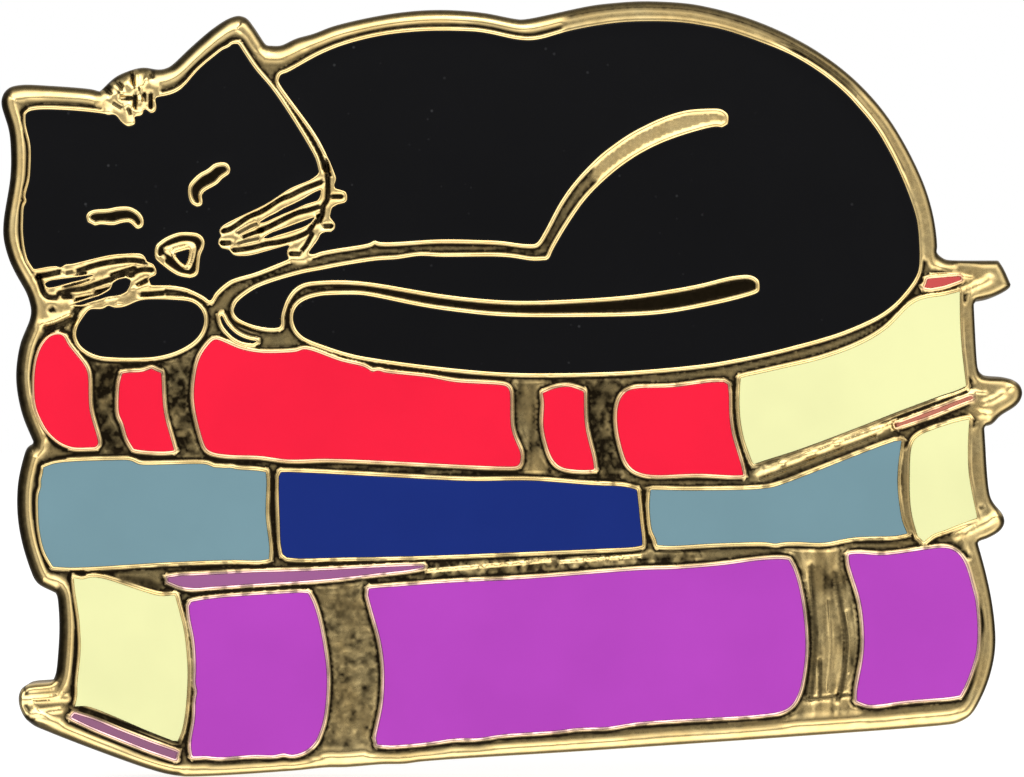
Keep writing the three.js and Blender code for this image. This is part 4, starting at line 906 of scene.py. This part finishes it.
def front_points():
    """Points of the plate's front: outlines, rows following them, and an even fill."""
    rows = []
    for d in (0.024, 0.052, 0.078, 0.106, 0.145):
        for c in CELLS:
            q = c + left_normals(c) * d
            rows.append((q, d, "c"))
    for d in (0.02, 0.07, 0.14, 0.22, 0.30, 0.38, 0.45, 0.53, 0.62):
        q = OUTER + left_normals(OUTER) * d
        rows.append((q, d, "o"))
    pts = []
    for q, d, kind in rows:
        dc, _ = B_CELL.signed(q, 0.6)
        do, _ = B_OUT.signed(q, 1.0)
        if kind == "c":
            ok = (dc > 0.95 * d) & (do > 0.03)
        else:
            ok = (do > 0.95 * d) & (dc > 0.165)
        pts.append(q[ok])
    # one more row down the middle of the narrow lines
    for c in CELLS:
        nrm = left_normals(c)
        far, _ = B_CELL.signed(c + nrm * 0.21, 0.6)
        q = (c + nrm * 0.128)[far < 0.185]
        if len(q):
            dc, _ = B_CELL.signed(q)
            do, _ = B_OUT.signed(q, 1.0)
            pts.append(q[(dc > 0.118) & (do > 0.03)])
    rows_all = np.vstack(pts)
    step = 0.095
    lo, hi = OUTER.min(0), OUTER.max(0)
    gx, gz = np.meshgrid(np.arange(lo[0], hi[0], step), np.arange(lo[1], hi[1], step * 0.87))
    gx = gx + (np.arange(gx.shape[0])[:, None] % 2) * step * 0.5
    g = np.column_stack([gx.ravel(), gz.ravel()])
    g += (rng.rand(*g.shape) - 0.5) * step * 0.25
    g = g[between(g, [OUTER] + CELLS)]
    dc, _ = B_CELL.signed(g, 0.6)
    do, _ = B_OUT.signed(g, 1.0)
    g = g[(dc > 0.165) & (do > 0.62)]
    # finer rows along the cut marks
    extra = []
    for p, w, depth in MARKS:
        line = smooth_line([at(*a) for a in p], 0.03)
        line = resample_open(line, 0.035)
        t = np.gradient(line, axis=0)
        t /= np.maximum(np.hypot(t[:, 0], t[:, 1]), 1e-9)[:, None]
        nrm = np.column_stack([-t[:, 1], t[:, 0]])
        for k in (-1.5, -0.75, 0.0, 0.75, 1.5):
            extra.append(line + nrm * (k * w * PX))
    extra = np.vstack(extra)
    extra = extra[between(extra, [OUTER] + CELLS)]
    dc, _ = B_CELL.signed(extra)
    do, _ = B_OUT.signed(extra)
    extra = extra[(dc > 0.02) & (do > 0.02)]
    allp = np.vstack([rows_all, g, extra])
    # thin out points that lie almost on each other
    key = np.round(allp / 0.0228).astype(int)
    _, first = np.unique(key, axis=0, return_index=True)
    return allp[np.sort(first)]


def resample_open(line, pitch):
    s = np.r_[0, np.cumsum(np.hypot(*np.diff(line, axis=0).T))]
    n = max(2, int(round(s[-1] / pitch)) + 1)
    t = np.linspace(0, s[-1], n)
    return np.column_stack([np.interp(t, s, line[:, 0]), np.interp(t, s, line[:, 1])])


def panel_rise(x, z):
    """0 on the back field, 1 on the smooth panel, with an eased edge."""
    a, b = PANEL
    dx, dz = a - np.abs(x), b - np.abs(z)
    d = np.minimum(dx, dz)
    return smoothstep(d, 0.0, 0.10)


def build_plate(material):
    loops = [OUTER] + CELLS
    pts, tris, src, nb = triangulate(loops, front_points())
    dc, ic = B_CELL.signed(pts, 1.0)
    do, io = B_OUT.signed(pts, 1.4)
    on_outer = np.array([0 <= s < len(OUTER) for s in src])
    on_cell = np.array([len(OUTER) <= s < nb for s in src])
    do[on_outer] = 0.0
    dc[on_cell] = 0.0
    t, dull = relief(pts, dc, do, B_OUT.n[io])
    verts = [(p[0], FACE + h, p[1]) for p, h in zip(pts, t)]
    # the plating's darkening per point: partly patina, partly painted shade
    tarnish_shade_values = list(dull)
    # a breath of the enamel's colour lies over the edge next to it
    near = np.exp(-(dc / 0.075) ** 2) * 0.75
    colour = np.array(cell_colours())[B_CELL.which[ic]]
    red, pur = list(near * (colour == "red")), list(near * (colour == "purple"))
    faces = orient(tris, pts, True)
    where = {s: i for i, s in enumerate(src) if 0 <= s < nb}
    # cells: a wall from each outline down to the floor, and the floor
    base = len(OUTER)
    floor_y = FACE + CELL_DEPTH
    cell_ids = []
    for c in CELLS:
        top = [where[base + i] for i in range(len(c))]
        low = []
        for i in range(len(c)):
            low.append(len(verts))
            verts.append((c[i][0], floor_y, c[i][1]))
            tarnish_shade_values.append(0.0)
        n = len(c)
        for i in range(n):
            j = (i + 1) % n
            faces.append([top[j], top[i], low[i], low[j]])
        cell_ids.append(low)
        base += n
    # floors: every outline that runs clockwise is a cell, every other one an island standing in it
    fl_loops = [c for c in CELLS]
    P, T, S, NB = triangulate(fl_loops, np.zeros((0, 2)))
    flat = [i for low in cell_ids for i in low]
    remap = {}
    for i, s in enumerate(S):
        if 0 <= s < NB:
            remap[i] = flat[s]
        else:
            remap[i] = len(verts)
            verts.append((P[i][0], floor_y, P[i][1]))
            tarnish_shade_values.append(0.0)
    for f in orient(T, P, True):
        faces.append([remap[i] for i in f])
    # side wall and rounded back edge
    ring = [where[i] for i in range(len(OUTER))]
    nrm = left_normals(OUTER)
    n = len(OUTER)
    y_top = np.array([verts[i][1] for i in ring])
    levels = [(0.0, None), (0.004, -0.62), (0.0, -0.24), (0.028, -0.13), (0.11, BACK_Y - 0.002)]
    prev = ring
    for inset, y in levels[1:]:
        q = OUTER + nrm * inset
        if inset > 0.05:
            dd, _ = B_OUT.signed(q)
            bad = dd < inset * 0.9
            q[bad] = OUTER[bad] + nrm[bad] * 0.03
        cur = []
        for i in range(n):
            cur.append(len(verts))
            verts.append((q[i][0], y, q[i][1]))
            tarnish_shade_values.append(0.0)
        for i in range(n):
            j = (i + 1) % n
            faces.append([prev[i], prev[j], cur[j], cur[i]])
        prev, last = cur, q
    # back field with the smooth panel
    a, b = PANEL
    step = 0.42
    lo, hi = OUTER.min(0), OUTER.max(0)
    gx, gz = np.meshgrid(np.arange(lo[0], hi[0], step), np.arange(lo[1], hi[1], step))
    g = np.column_stack([gx.ravel(), gz.ravel()]) + (rng.rand(gx.size, 2) - 0.5) * 0.12
    g = g[inside(g, OUTER)]
    dd, _ = B_OUT.signed(g)
    g = g[dd > 0.3]
    g = g[(np.abs(np.abs(g[:, 0]) - a) > 0.16) | (np.abs(g[:, 1]) > b + 0.16)]
    g = g[(np.abs(np.abs(g[:, 1]) - b) > 0.16) | (np.abs(g[:, 0]) > a + 0.16)]
    edge = []
    for d in (-0.01, 0.03, 0.06, 0.10):
        w, h = a - d, b - d
        for k in np.arange(-1, 1, 0.04):
            edge += [(w * k, h), (w * k, -h), (w, h * k), (-w, h * k)]
        edge.append((w, h))
    P, T, S, NB = triangulate([last], np.vstack([g, np.array(edge)]))
    r = panel_rise(P[:, 0], P[:, 1])
    d1, _ = cellular(P[:, 0], P[:, 1], 0.9, 9)
    grain = -0.012 * np.minimum(d1, 0.8) + 0.004 * N2(P[:, 0], P[:, 1], 0.4)
    Y = np.minimum(BACK_Y - 0.006 + grain * (1 - r) + (0.006 - BACK_Y) * r, 0.0)
    remap = {}
    for i, s in enumerate(S):
        if 0 <= s < NB:
            remap[i] = prev[s]
            continue
        remap[i] = len(verts)
        verts.append((P[i][0], Y[i], P[i][1]))
        tarnish_shade_values.append(0.12)
    for f in orient(T, P, False):
        faces.append([remap[i] for i in f])
    red += [0.0] * (len(verts) - len(red))
    pur += [0.0] * (len(verts) - len(pur))
    ob = make_mesh("base_plate_metal", verts, faces, material, attrs={"dull": tarnish_shade_values, "tint_red": red, "tint_purple": pur})
    return ob


# ------------------------------------------------------------------ enamel
def match_loop(p, used):
    """The plate outline that a node's outline was drawn from."""
    best, which = 1e9, -1
    lo, hi = p.min(0), p.max(0)
    for i, c in enumerate(cells_raw):
        d = np.abs(c.min(0) - lo).sum() + np.abs(c.max(0) - hi).sum() + 0.2 * abs(abs(area(c)) - abs(area(p))) ** 0.5
        if d < best:
            best, which = d, i
    return which, best


def build_enamel(node, material, seed):
    obj = NODES[node]
    top_y = min(v.co.y for v in obj.data.vertices) / MM
    bottom_y = max(v.co.y for v in obj.data.vertices) / MM
    own = face_loops(obj, top_y)
    loops = []
    for p in own:
        i, err = match_loop(p, None)
        c = CELLS[i]
        loops.append(c - left_normals(c) * 0.003)
    size = max(np.ptp(loops[0], axis=0))
    B = Boundary([(lp, -1) for lp in loops])
    rows = []
    for d in (0.03, 0.075, 0.14):
        for lp in loops:
            q = lp - left_normals(lp) * d
            dd, _ = B.signed(q)
            rows.append(q[dd > 0.93 * d][::2 if d > 0.05 else 1])
    lo, hi = np.min([l.min(0) for l in loops], 0), np.max([l.max(0) for l in loops], 0)
    step = 0.22
    gx, gz = np.meshgrid(np.arange(lo[0], hi[0], step), np.arange(lo[1], hi[1], step * 0.87))
    gx = gx + (np.arange(gx.shape[0])[:, None] % 2) * step * 0.5
    g = np.column_stack([gx.ravel(), gz.ravel()])
    big = max(loops, key=lambda l: abs(area(l)))
    m = inside(g, big)
    for lp in loops:
        if lp is not big:
            m &= ~inside(g, lp)
    g = g[m]
    if len(g):
        dd, _ = B.signed(g)
        g = g[dd > 0.2]
    rows.append(g)
    P, T, S, NB = triangulate(loops, np.vstack(rows))
    d, _ = B.signed(P)
    d = np.maximum(d, 0)
    on = np.array([0 <= s < NB for s in S])
    d[on] = 0
    dish = 0.004 * smoothstep(d, 0.0, 0.30) + 0.004 * N1(P[:, 0], P[:, 1], 2.6) * smoothstep(d, 0.05, 0.5)
    wobble = 0.0012 * N2(P[:, 0], P[:, 1], 0.7) * smoothstep(d, 0.02, 0.3)
    y = FACE + ENAMEL_SINK + dish + wobble
    verts = [(p[0], h, p[1]) for p, h in zip(P, y)]
    faces = orient(T, P, True)
    n_top = len(verts)
    low_y = min(bottom_y, FACE + CELL_DEPTH - 0.006)
    where = {s: i for i, s in enumerate(S) if 0 <= s < NB}
    base, lows = 0, []
    for lp in loops:
        low = []
        for i in range(len(lp)):
            low.append(len(verts))
            verts.append((lp[i][0], low_y, lp[i][1]))
        top = [where[base + i] for i in range(len(lp))]
        n = len(lp)
        for i in range(n):
            j = (i + 1) % n
            faces.append([top[i], top[j], low[j], low[i]])
        lows += low
        base += n
    # underside
    P2, T2, S2, NB2 = triangulate(loops, np.zeros((0, 2)))
    remap = {}
    for i, s in enumerate(S2):
        if 0 <= s < NB2:
            remap[i] = lows[s]
        else:
            remap[i] = len(verts)
            verts.append((P2[i][0], low_y, P2[i][1]))
    for f in orient(T2, P2, False):
        faces.append([remap[i] for i in f])
    # loops of the plate run with the metal on their left, so the enamel's walls face the other way
    ob = make_mesh(node + "_set", verts, faces, material)
    fix_normals(ob)
    return ob


def fix_normals(ob):
    """Makes every closed shell face outwards."""
    import bmesh
    bm = bmesh.new()
    bm.from_mesh(ob.data)
    bmesh.ops.recalc_face_normals(bm, faces=bm.faces)
    bm.to_mesh(ob.data)
    bm.free()
    ob.data.update()


def cell_colours():
    """The enamel colour in each of the plate's cells."""
    out = ["black"] * len(cells_raw)
    for name in NODES:
        if name.startswith("enamel_"):
            top_y = min(v.co.y for v in NODES[name].data.vertices) / MM
            for p in face_loops(NODES[name], top_y):
                i, _ = match_loop(p, None)
                key = colour_of(name)
                out[i] = "red" if key.startswith("red") else "purple" if key in ("purple", "mauve_up", "mauve_low") else key
    return out


# ------------------------------------------------------------------ posts and clutches
def lathe(name, profile, cx, base_y, material, seg=96, closed=False):
    """Revolves (r, y) about a line along Y through (cx, 0)."""
    prof = round_profile(profile, closed)
    verts, rings = [], []
    for r, y in prof:
        if r < 1e-6:
            rings.append([len(verts)])
            verts.append((cx, base_y + y, 0.0))
        else:
            rings.append(list(range(len(verts), len(verts) + seg)))
            for k in range(seg):
                a = 2 * math.pi * k / seg
                verts.append((cx + r * math.cos(a), base_y + y, r * math.sin(a)))
    faces = []
    pairs = list(zip(rings, rings[1:]))
    if closed:
        pairs.append((rings[-1], rings[0]))
    for A, Bq in pairs:
        for k in range(seg):
            m = (k + 1) % seg
            if len(A) == 1 and len(Bq) == 1:
                continue
            if len(A) == 1:
                faces.append([A[0], Bq[k], Bq[m]])
            elif len(Bq) == 1:
                faces.append([A[k], Bq[0], A[m]])
            else:
                faces.append([A[k], Bq[k], Bq[m], A[m]])
    ob = make_mesh(name, verts, faces, material)
    fix_normals(ob)
    return ob


def round_profile(profile, closed, radius=0.09):
    """Replaces every corner of a profile by a small arc."""
    P = [np.array(p, float) for p in profile]
    n = len(P)
    out = []
    for i in range(n):
        if not closed and i in (0, n - 1):
            out.append(tuple(P[i]))
            continue
        a, b, c = P[i - 1], P[i], P[(i + 1) % n]
        u, v = a - b, c - b
        lu, lv = np.hypot(*u), np.hypot(*v)
        r = min(radius, 0.42 * lu, 0.42 * lv)
        u, v = u / lu, v / lv
        s, e = b + u * r, b + v * r
        for t in (0.0, 0.25, 0.5, 0.75, 1.0):
            q = (1 - t) ** 2 * s + 2 * t * (1 - t) * b + t * t * e
            out.append(tuple(q))
    return out


def sheet(name, loops, place, half, material, edge=0.10, grid=0.22, fn_normal=None):
    """A thin sheet: flat outlines (s, w), laid on a surface by place(s, w) -> (point, normal), with rounded edges."""
    rows = []
    B = Boundary([(lp, 1) for lp in loops])
    for d in (edge * 0.25, edge * 0.6, edge, edge * 1.7):
        for lp in loops:
            q = lp + left_normals(lp) * d
            dd, _ = B.signed(q)
            rows.append(q[dd > 0.93 * d])
    lo, hi = np.min([l.min(0) for l in loops], 0), np.max([l.max(0) for l in loops], 0)
    gx, gz = np.meshgrid(np.arange(lo[0], hi[0], grid), np.arange(lo[1], hi[1], grid))
    g = np.column_stack([gx.ravel(), gz.ravel()])
    g = g + (rng.rand(*g.shape) - 0.5) * grid * 0.1
    big = max(loops, key=lambda l: abs(area(l)))
    m = inside(g, big)
    for lp in loops:
        if lp is not big:
            m &= ~inside(g, lp)
    g = g[m]
    dd, _ = B.signed(g)
    rows.append(g[dd > edge * 2.2])
    P, T, S, NB = triangulate(loops, np.vstack(rows))
    d, _ = B.signed(P)
    d = np.maximum(d, 0)
    on = np.array([0 <= s < NB for s in S])
    d[on] = 0
    e = np.clip(1 - d / edge, 0, 1)
    h = half * (0.15 + 0.85 * np.sqrt(np.maximum(1 - e * e, 0)))
    verts, up, down = [], {}, {}
    for i, (s, w) in enumerate(P):
        p, nrm = place(s, w)
        up[i] = len(verts)
        verts.append(tuple(p + nrm * h[i]))
        down[i] = len(verts)
        verts.append(tuple(p - nrm * h[i]))
    faces = []
    T = orient(T, P, True)
    for f in T:
        faces.append([up[i] for i in f])
        faces.append([down[i] for i in f][::-1])
    where = {s: i for i, s in enumerate(S) if 0 <= s < NB}
    base = 0
    for lp in loops:
        n = len(lp)
        ids = [where[base + i] for i in range(n)]
        for i in range(n):
            a, b = ids[i], ids[(i + 1) % n]
            faces.append([up[b], up[a], down[a], down[b]])
        base += n
    ob = make_mesh(name, verts, faces, material)
    fix_normals(ob)
    return ob


def arc(cx, cz, r, a0, a1, n):
    return [(cx + r * math.cos(a), cz + r * math.sin(a)) for a in np.linspace(a0, a1, n)]


def ccw(p):
    p = np.array(p, float)
    return p if area(p) > 0 else p[::-1]


def cw(p):
    p = np.array(p, float)
    return p if area(p) < 0 else p[::-1]


WING_PATH = [(0.34, 0.95), (1.35, 0.98), (1.85, 1.18), (2.15, 1.6), (2.28, 2.2), (2.55, 3.0),
             (3.25, 4.6), (3.95, 6.1), (4.25, 6.62), (4.75, 6.8)]
WING_T = 0.32
CLUTCH_Y = 0.9


def build_wing(name, cx, side, material):
    path = smooth_line(WING_PATH, 0.02)
    path = resample_open(path, 0.02)
    S = np.r_[0, np.cumsum(np.hypot(*np.diff(path, axis=0).T))]
    tan = np.gradient(path, axis=0)
    tan /= np.hypot(tan[:, 0], tan[:, 1])[:, None]
    total = S[-1]
    # half width along the strip, from the height reached (v) in the side view
    v = path[:, 1]
    x = path[:, 0]

    def half_width(i):
        vv = v[i]
        if vv < 1.7:
            return 1.36
        if vv < 2.75:
            t = (vv - 1.7) / 1.05
            return 1.36 + (2.46 - 1.36) * t * t
        if vv < 3.4:
            t = (vv - 2.75) / 0.65
            return 2.46 + 0.50 * math.sin(t * math.pi / 2)
        return 2.96

    upper, lower = [], []
    corner = 1.25
    s_end = total - 0.02
    idx = np.linspace(0, len(path) - 1, 260).astype(int)
    s_corner = s_end - corner
    for i in idx:
        s = S[i]
        if s > s_corner:
            break
        w = half_width(i)
        upper.append((s, w))
    a = arc(s_corner, 2.96 - corner, corner, math.pi / 2, 0, 14)
    upper += a
    lower = [(s, -w) for s, w in upper][::-1]
    outline = upper + lower          # from the jaw, out along +w, back along -w
    # half-round notch at the jaw's end
    notch = []
    r = 0.68
    s0 = WING_PATH[0][0]
    w0 = math.sqrt(max(r * r - s0 * s0, 0))
    for ang in np.linspace(-math.atan2(w0, s0), math.atan2(w0, s0), 17):
        sx, w = r * math.cos(ang) - s0, r * math.sin(ang)
        notch.append((max(sx, 0.0), w))
    outline = outline + notch
    lp = smooth_or_corner(ccw(outline), 0.10, 0.02)

    def place(s, w):
        s = min(max(s, 0.0), total)
        k = min(np.searchsorted(S, s), len(S) - 1)
        k0 = max(k - 1, 0)
        f = (s - S[k0]) / max(S[k] - S[k0], 1e-9) if k > k0 else 0.0
        p = path[k0] * (1 - f) + path[k] * f
        t = tan[k0] * (1 - f) + tan[k] * f
        t = t / max(np.hypot(*t), 1e-9)
        return (np.array([cx + side * p[0], CLUTCH_Y + p[1], w]), np.array([-side * t[1], t[0], 0.0]))

    return sheet(name, [lp], place, WING_T / 2 - 0.006, material, edge=0.09, grid=0.20)


def smooth_or_corner(p, pitch, soften):
    q = resample(p, 0.02)
    k = max(1, int(3 * soften / 0.02))
    w = np.exp(-0.5 * (np.arange(-k, k + 1) * 0.02 / soften) ** 2)
    w /= w.sum()
    ext = np.vstack([q[-k:], q, q[:k]])
    q = np.column_stack([np.convolve(ext[:, d], w, "valid") for d in (0, 1)])
    return resample(q, pitch)


def build_back(label, side, m_post, m_clutch, m_inner):
    cx = side * 9.0
    y0 = -0.05
    post = lathe("post_%s_metal" % label, [
        (0.0, y0), (2.42, y0), (2.5, y0 + 0.1), (2.4, 0.30), (0.825, 0.32), (0.64, 0.40), (0.575, 0.58),
        (0.575, 6.15), (0.43, 6.31), (0.43, 6.59), (0.575, 6.75), (0.575, 7.1), (0.2, 8.38), (0.06, 8.58), (0.0, 8.598),
    ], cx, 0.0, m_post, seg=72)
    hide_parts("pin_post_%s" % label)
    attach(post, "pin")
    R, H, w, m = 5.7, 2.6, 0.4, 4.7
    shell = lathe("clutch_%s_shell_metal" % label, [
        (0.74, 0.0), (1.6, 0.0), (1.75, 0.05), (2.9, 0.05), (3.05, 0.0), (R - 0.7, 0.0), (R - 0.38, 0.06), (R - 0.14, 0.28), (R - 0.01, 0.68),
        (R - 0.01, 1.15), (R - 0.06, 1.20), (R - 0.06, 1.42), (R - 0.01, 1.47), (R - 0.01, H - 0.75),
        (R - 0.10, H - 0.42), (R - 0.30, H - 0.16), (R - 0.6, H - 0.01), (m + 0.02, H - 0.06), (m + 0.02, H - 0.36),
        (R - 0.65, H - 0.4), (R - w, H - 0.85), (R - w, 0.75), (R - w - 0.3, w), (0.74, w),
    ], cx, CLUTCH_Y, m_clutch, seg=120, closed=True)
    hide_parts("clutch_%s_shell" % label)
    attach(shell, "clutch_%s" % label)
    L, b = 4.95, 1.7
    a0 = math.asin(b / L)
    out = [(L * math.sin(a), L * math.cos(a)) for a in np.linspace(a0, -a0, 20)]
    out += [(L * math.sin(a), -L * math.cos(a)) for a in np.linspace(-a0, a0, 20)]
    lp = smooth_or_corner(ccw([(p[0] * 0.995, p[1] * 0.995) for p in out]), 0.12, 0.03)
    hole = resample(cw(arc(0, 0, 0.955, 0, 2 * math.pi, 48)[:-1]), 0.10)

    def flat(s, ww):
        return (np.array([cx + s, CLUTCH_Y + 1.90, ww]), np.array([0.0, 1.0, 0.0]))

    spring = sheet("clutch_%s_spring_metal" % label, [lp, hole], flat, 0.146, m_inner, edge=0.08, grid=0.25)
    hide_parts("clutch_%s_spring" % label)
    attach(spring, "clutch_%s" % label)
    for w_name, sd in (("a", -1), ("b", 1)):
        wing = build_wing("clutch_%s_wing_%s_metal" % (label, w_name), cx, sd, m_inner)
        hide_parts("clutch_%s_wing_%s" % (label, w_name))
        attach(wing, "wing_%s_%s" % (label, w_name))


def colour_of(node):
    n = node[len("enamel_"):]
    if n in ("red_cover_upper", "red_cover_lower"):
        return n
    if n.startswith("red"):
        return "red"
    if n.startswith("pages"):
        return "cream"
    if n.startswith("blue"):
        return "grey_blue"
    if n.startswith("navy"):
        return "navy"
    if n.startswith("purple_spine"):
        return "purple"
    if n == "purple_cover_upper":
        return "mauve_up"
    if n == "purple_cover_lower":
        return "mauve_low"
    return "black"


plate = build_plate(M_GOLD)
fix_normals(plate)
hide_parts("base_plate")
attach(plate, "pin")
for i, name in enumerate(sorted(n for n in NODES if n.startswith("enamel_"))):
    key = colour_of(name)
    piece = build_enamel(name, M_EN[key], i)
    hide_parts(name)
    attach(piece, "pin")
for label, side in (("left", -1), ("right", 1)):
    build_back(label, side, M_POST, M_CLUTCH, M_WING)


# ------------------------------------------------------------------ light
def build_world():
    w = bpy.data.worlds.new("studio")
    bpy.context.scene.world = w
    w.use_nodes = True
    nt = w.node_tree
    nt.nodes.clear()
    N, L = nt.nodes.new, nt.links.new

    def val(op, a, b=None):
        n = N("ShaderNodeMath")
        n.operation = op
        for i, v in enumerate((a, b)):
            if v is None:
                continue
            if isinstance(v, (int, float)):
                n.inputs[i].default_value = v
            else:
                L(v, n.inputs[i])
        return n.outputs[0]

    def ramp(x, a, b, lo, hi):
        n = N("ShaderNodeMapRange")
        n.interpolation_type = "SMOOTHSTEP"
        n.inputs["From Min"].default_value = a
        n.inputs["From Max"].default_value = b
        n.inputs["To Min"].default_value = lo
        n.inputs["To Max"].default_value = hi
        L(x, n.inputs["Value"])
        return n.outputs["Result"]

    geo = N("ShaderNodeNewGeometry")
    sep = N("ShaderNodeSeparateXYZ")
    # the direction looked in, seen from the object
    inc = geo.outputs["Incoming"]
    L(inc, sep.inputs[0])
    X, Y, Z = (val("MULTIPLY", sep.outputs[i], -1.0) for i in range(3))
    front = val("MULTIPLY", Y, -1.0)                 # 1 straight in front of the picture side
    # dark where the camera stands
    ring = ramp(front, 0.92, 0.992, 1.0, 0.85)
    up = ramp(Z, 0.02, 0.50, 0.0, 1.0)
    down = ramp(val("MULTIPLY", Z, -1.0), 0.04, 0.55, 0.0, 1.0)
    right = val("MULTIPLY", ramp(X, 0.04, 0.36, 0.0, 1.0), ramp(X, 0.50, 0.85, 1.0, 0.35))
    left = ramp(val("MULTIPLY", X, -1.0), 0.08, 0.6, 0.0, 1.0)
    s = val("ADD", val("MULTIPLY", up, TOP), val("MULTIPLY", down, BOTTOM))
    s = val("ADD", s, val("MULTIPLY", right, RIGHT))
    s = val("ADD", s, val("MULTIPLY", left, LEFT))
    s = val("ADD", s, ramp(X, -0.55, -0.10, 0.14, BASE))
    side = val("MAXIMUM", ramp(front, 0.12, 0.74, 0.05, 1.0), ramp(front, -0.9, -0.3, 0.35, 0.10))   # little from the sides, some from behind
    gl = val("MULTIPLY", val("MULTIPLY", s, ring), side)
    lp = N("ShaderNodeLightPath")
    strength = N("ShaderNodeMix")
    strength.data_type = "FLOAT"
    L(lp.outputs["Is Glossy Ray"], strength.inputs[0])
    strength.inputs[2].default_value = DIFFUSE
    L(gl, strength.inputs[3])
    strength2 = N("ShaderNodeMix")
    strength2.data_type = "FLOAT"
    L(lp.outputs["Is Camera Ray"], strength2.inputs[0])
    L(strength.outputs[0], strength2.inputs[2])
    strength2.inputs[3].default_value = 1.0
    bg = N("ShaderNodeBackground")
    bg.inputs["Color"].default_value = (1, 1, 1, 1)
    L(strength2.outputs[0], bg.inputs["Strength"])
    out = N("ShaderNodeOutputWorld")
    L(bg.outputs[0], out.inputs["Surface"])


TOP, BOTTOM, RIGHT, LEFT, BASE, DIFFUSE = 1.75, 1.35, 0.55, 0.46, 0.45, 0.93
build_world()

# floor: a plain pale sheet the pin stands on
m = Mat("floor_paper")
m.bsdf.inputs["Base Color"].default_value = (0.30, 0.30, 0.30, 1)
m.bsdf.inputs["Roughness"].default_value = 1.0
m.bsdf.inputs["Specular IOR Level"].default_value = 0.0
m.bsdf.inputs["Emission Color"].default_value = (1, 1, 1, 1)
m.bsdf.inputs["Emission Strength"].default_value = 0.85
bottom = min(v.co.z for v in NODES["base_plate"].data.vertices)
fl = bpy.data.meshes.new("floor")
q, zf = 0.6, bottom - 0.00008
fl.from_pydata([(-q, -q, zf), (q, -q, zf), (q, q, zf), (-q, q, zf)], [], [(0, 1, 2, 3)])
fl.materials.append(m.m)
floor = bpy.data.objects.new("floor", fl)
bpy.context.scene.collection.objects.link(floor)
floor.visible_glossy = False      # a matt sheet: its sheen is not seen in the plating or the enamel


def lamp(name, loc, aim, size, power, colour=(1, 1, 1)):
    d = bpy.data.lights.new(name, "AREA")
    d.shape = "SQUARE"
    d.size = size
    d.energy = power
    d.color = colour
    o = bpy.data.objects.new(name, d)
    o.location = loc
    o.rotation_euler = (Vector(aim) - Vector(loc)).to_track_quat("-Z", "Y").to_euler()
    bpy.context.scene.collection.objects.link(o)
    return o


lamp("key_top", (0.01, -0.12, 0.16), (0, 0, 0), 0.06, 0.02, (1.0, 0.99, 0.97))

# ------------------------------------------------------------------ camera
cam = bpy.data.cameras.new("cam")
cam.type = "PERSP"
cam.sensor_fit = "HORIZONTAL"
cam.sensor_width = 36.0
cam.lens = 135.0
cam.clip_start = 0.005
cam.clip_end = 10.0
width_mm = 1024 * PX
dist = width_mm * cam.lens / cam.sensor_width
camera = bpy.data.objects.new("cam", cam)
camera.location = (0.5 * PX * MM, (FACE - dist) * MM, 0.0)
camera.rotation_euler = (math.radians(90), 0, 0)
bpy.context.scene.collection.objects.link(camera)
bpy.context.scene.camera = camera
bpy.context.scene.view_settings.view_transform = "Standard"
bpy.context.scene.view_settings.look = "None"
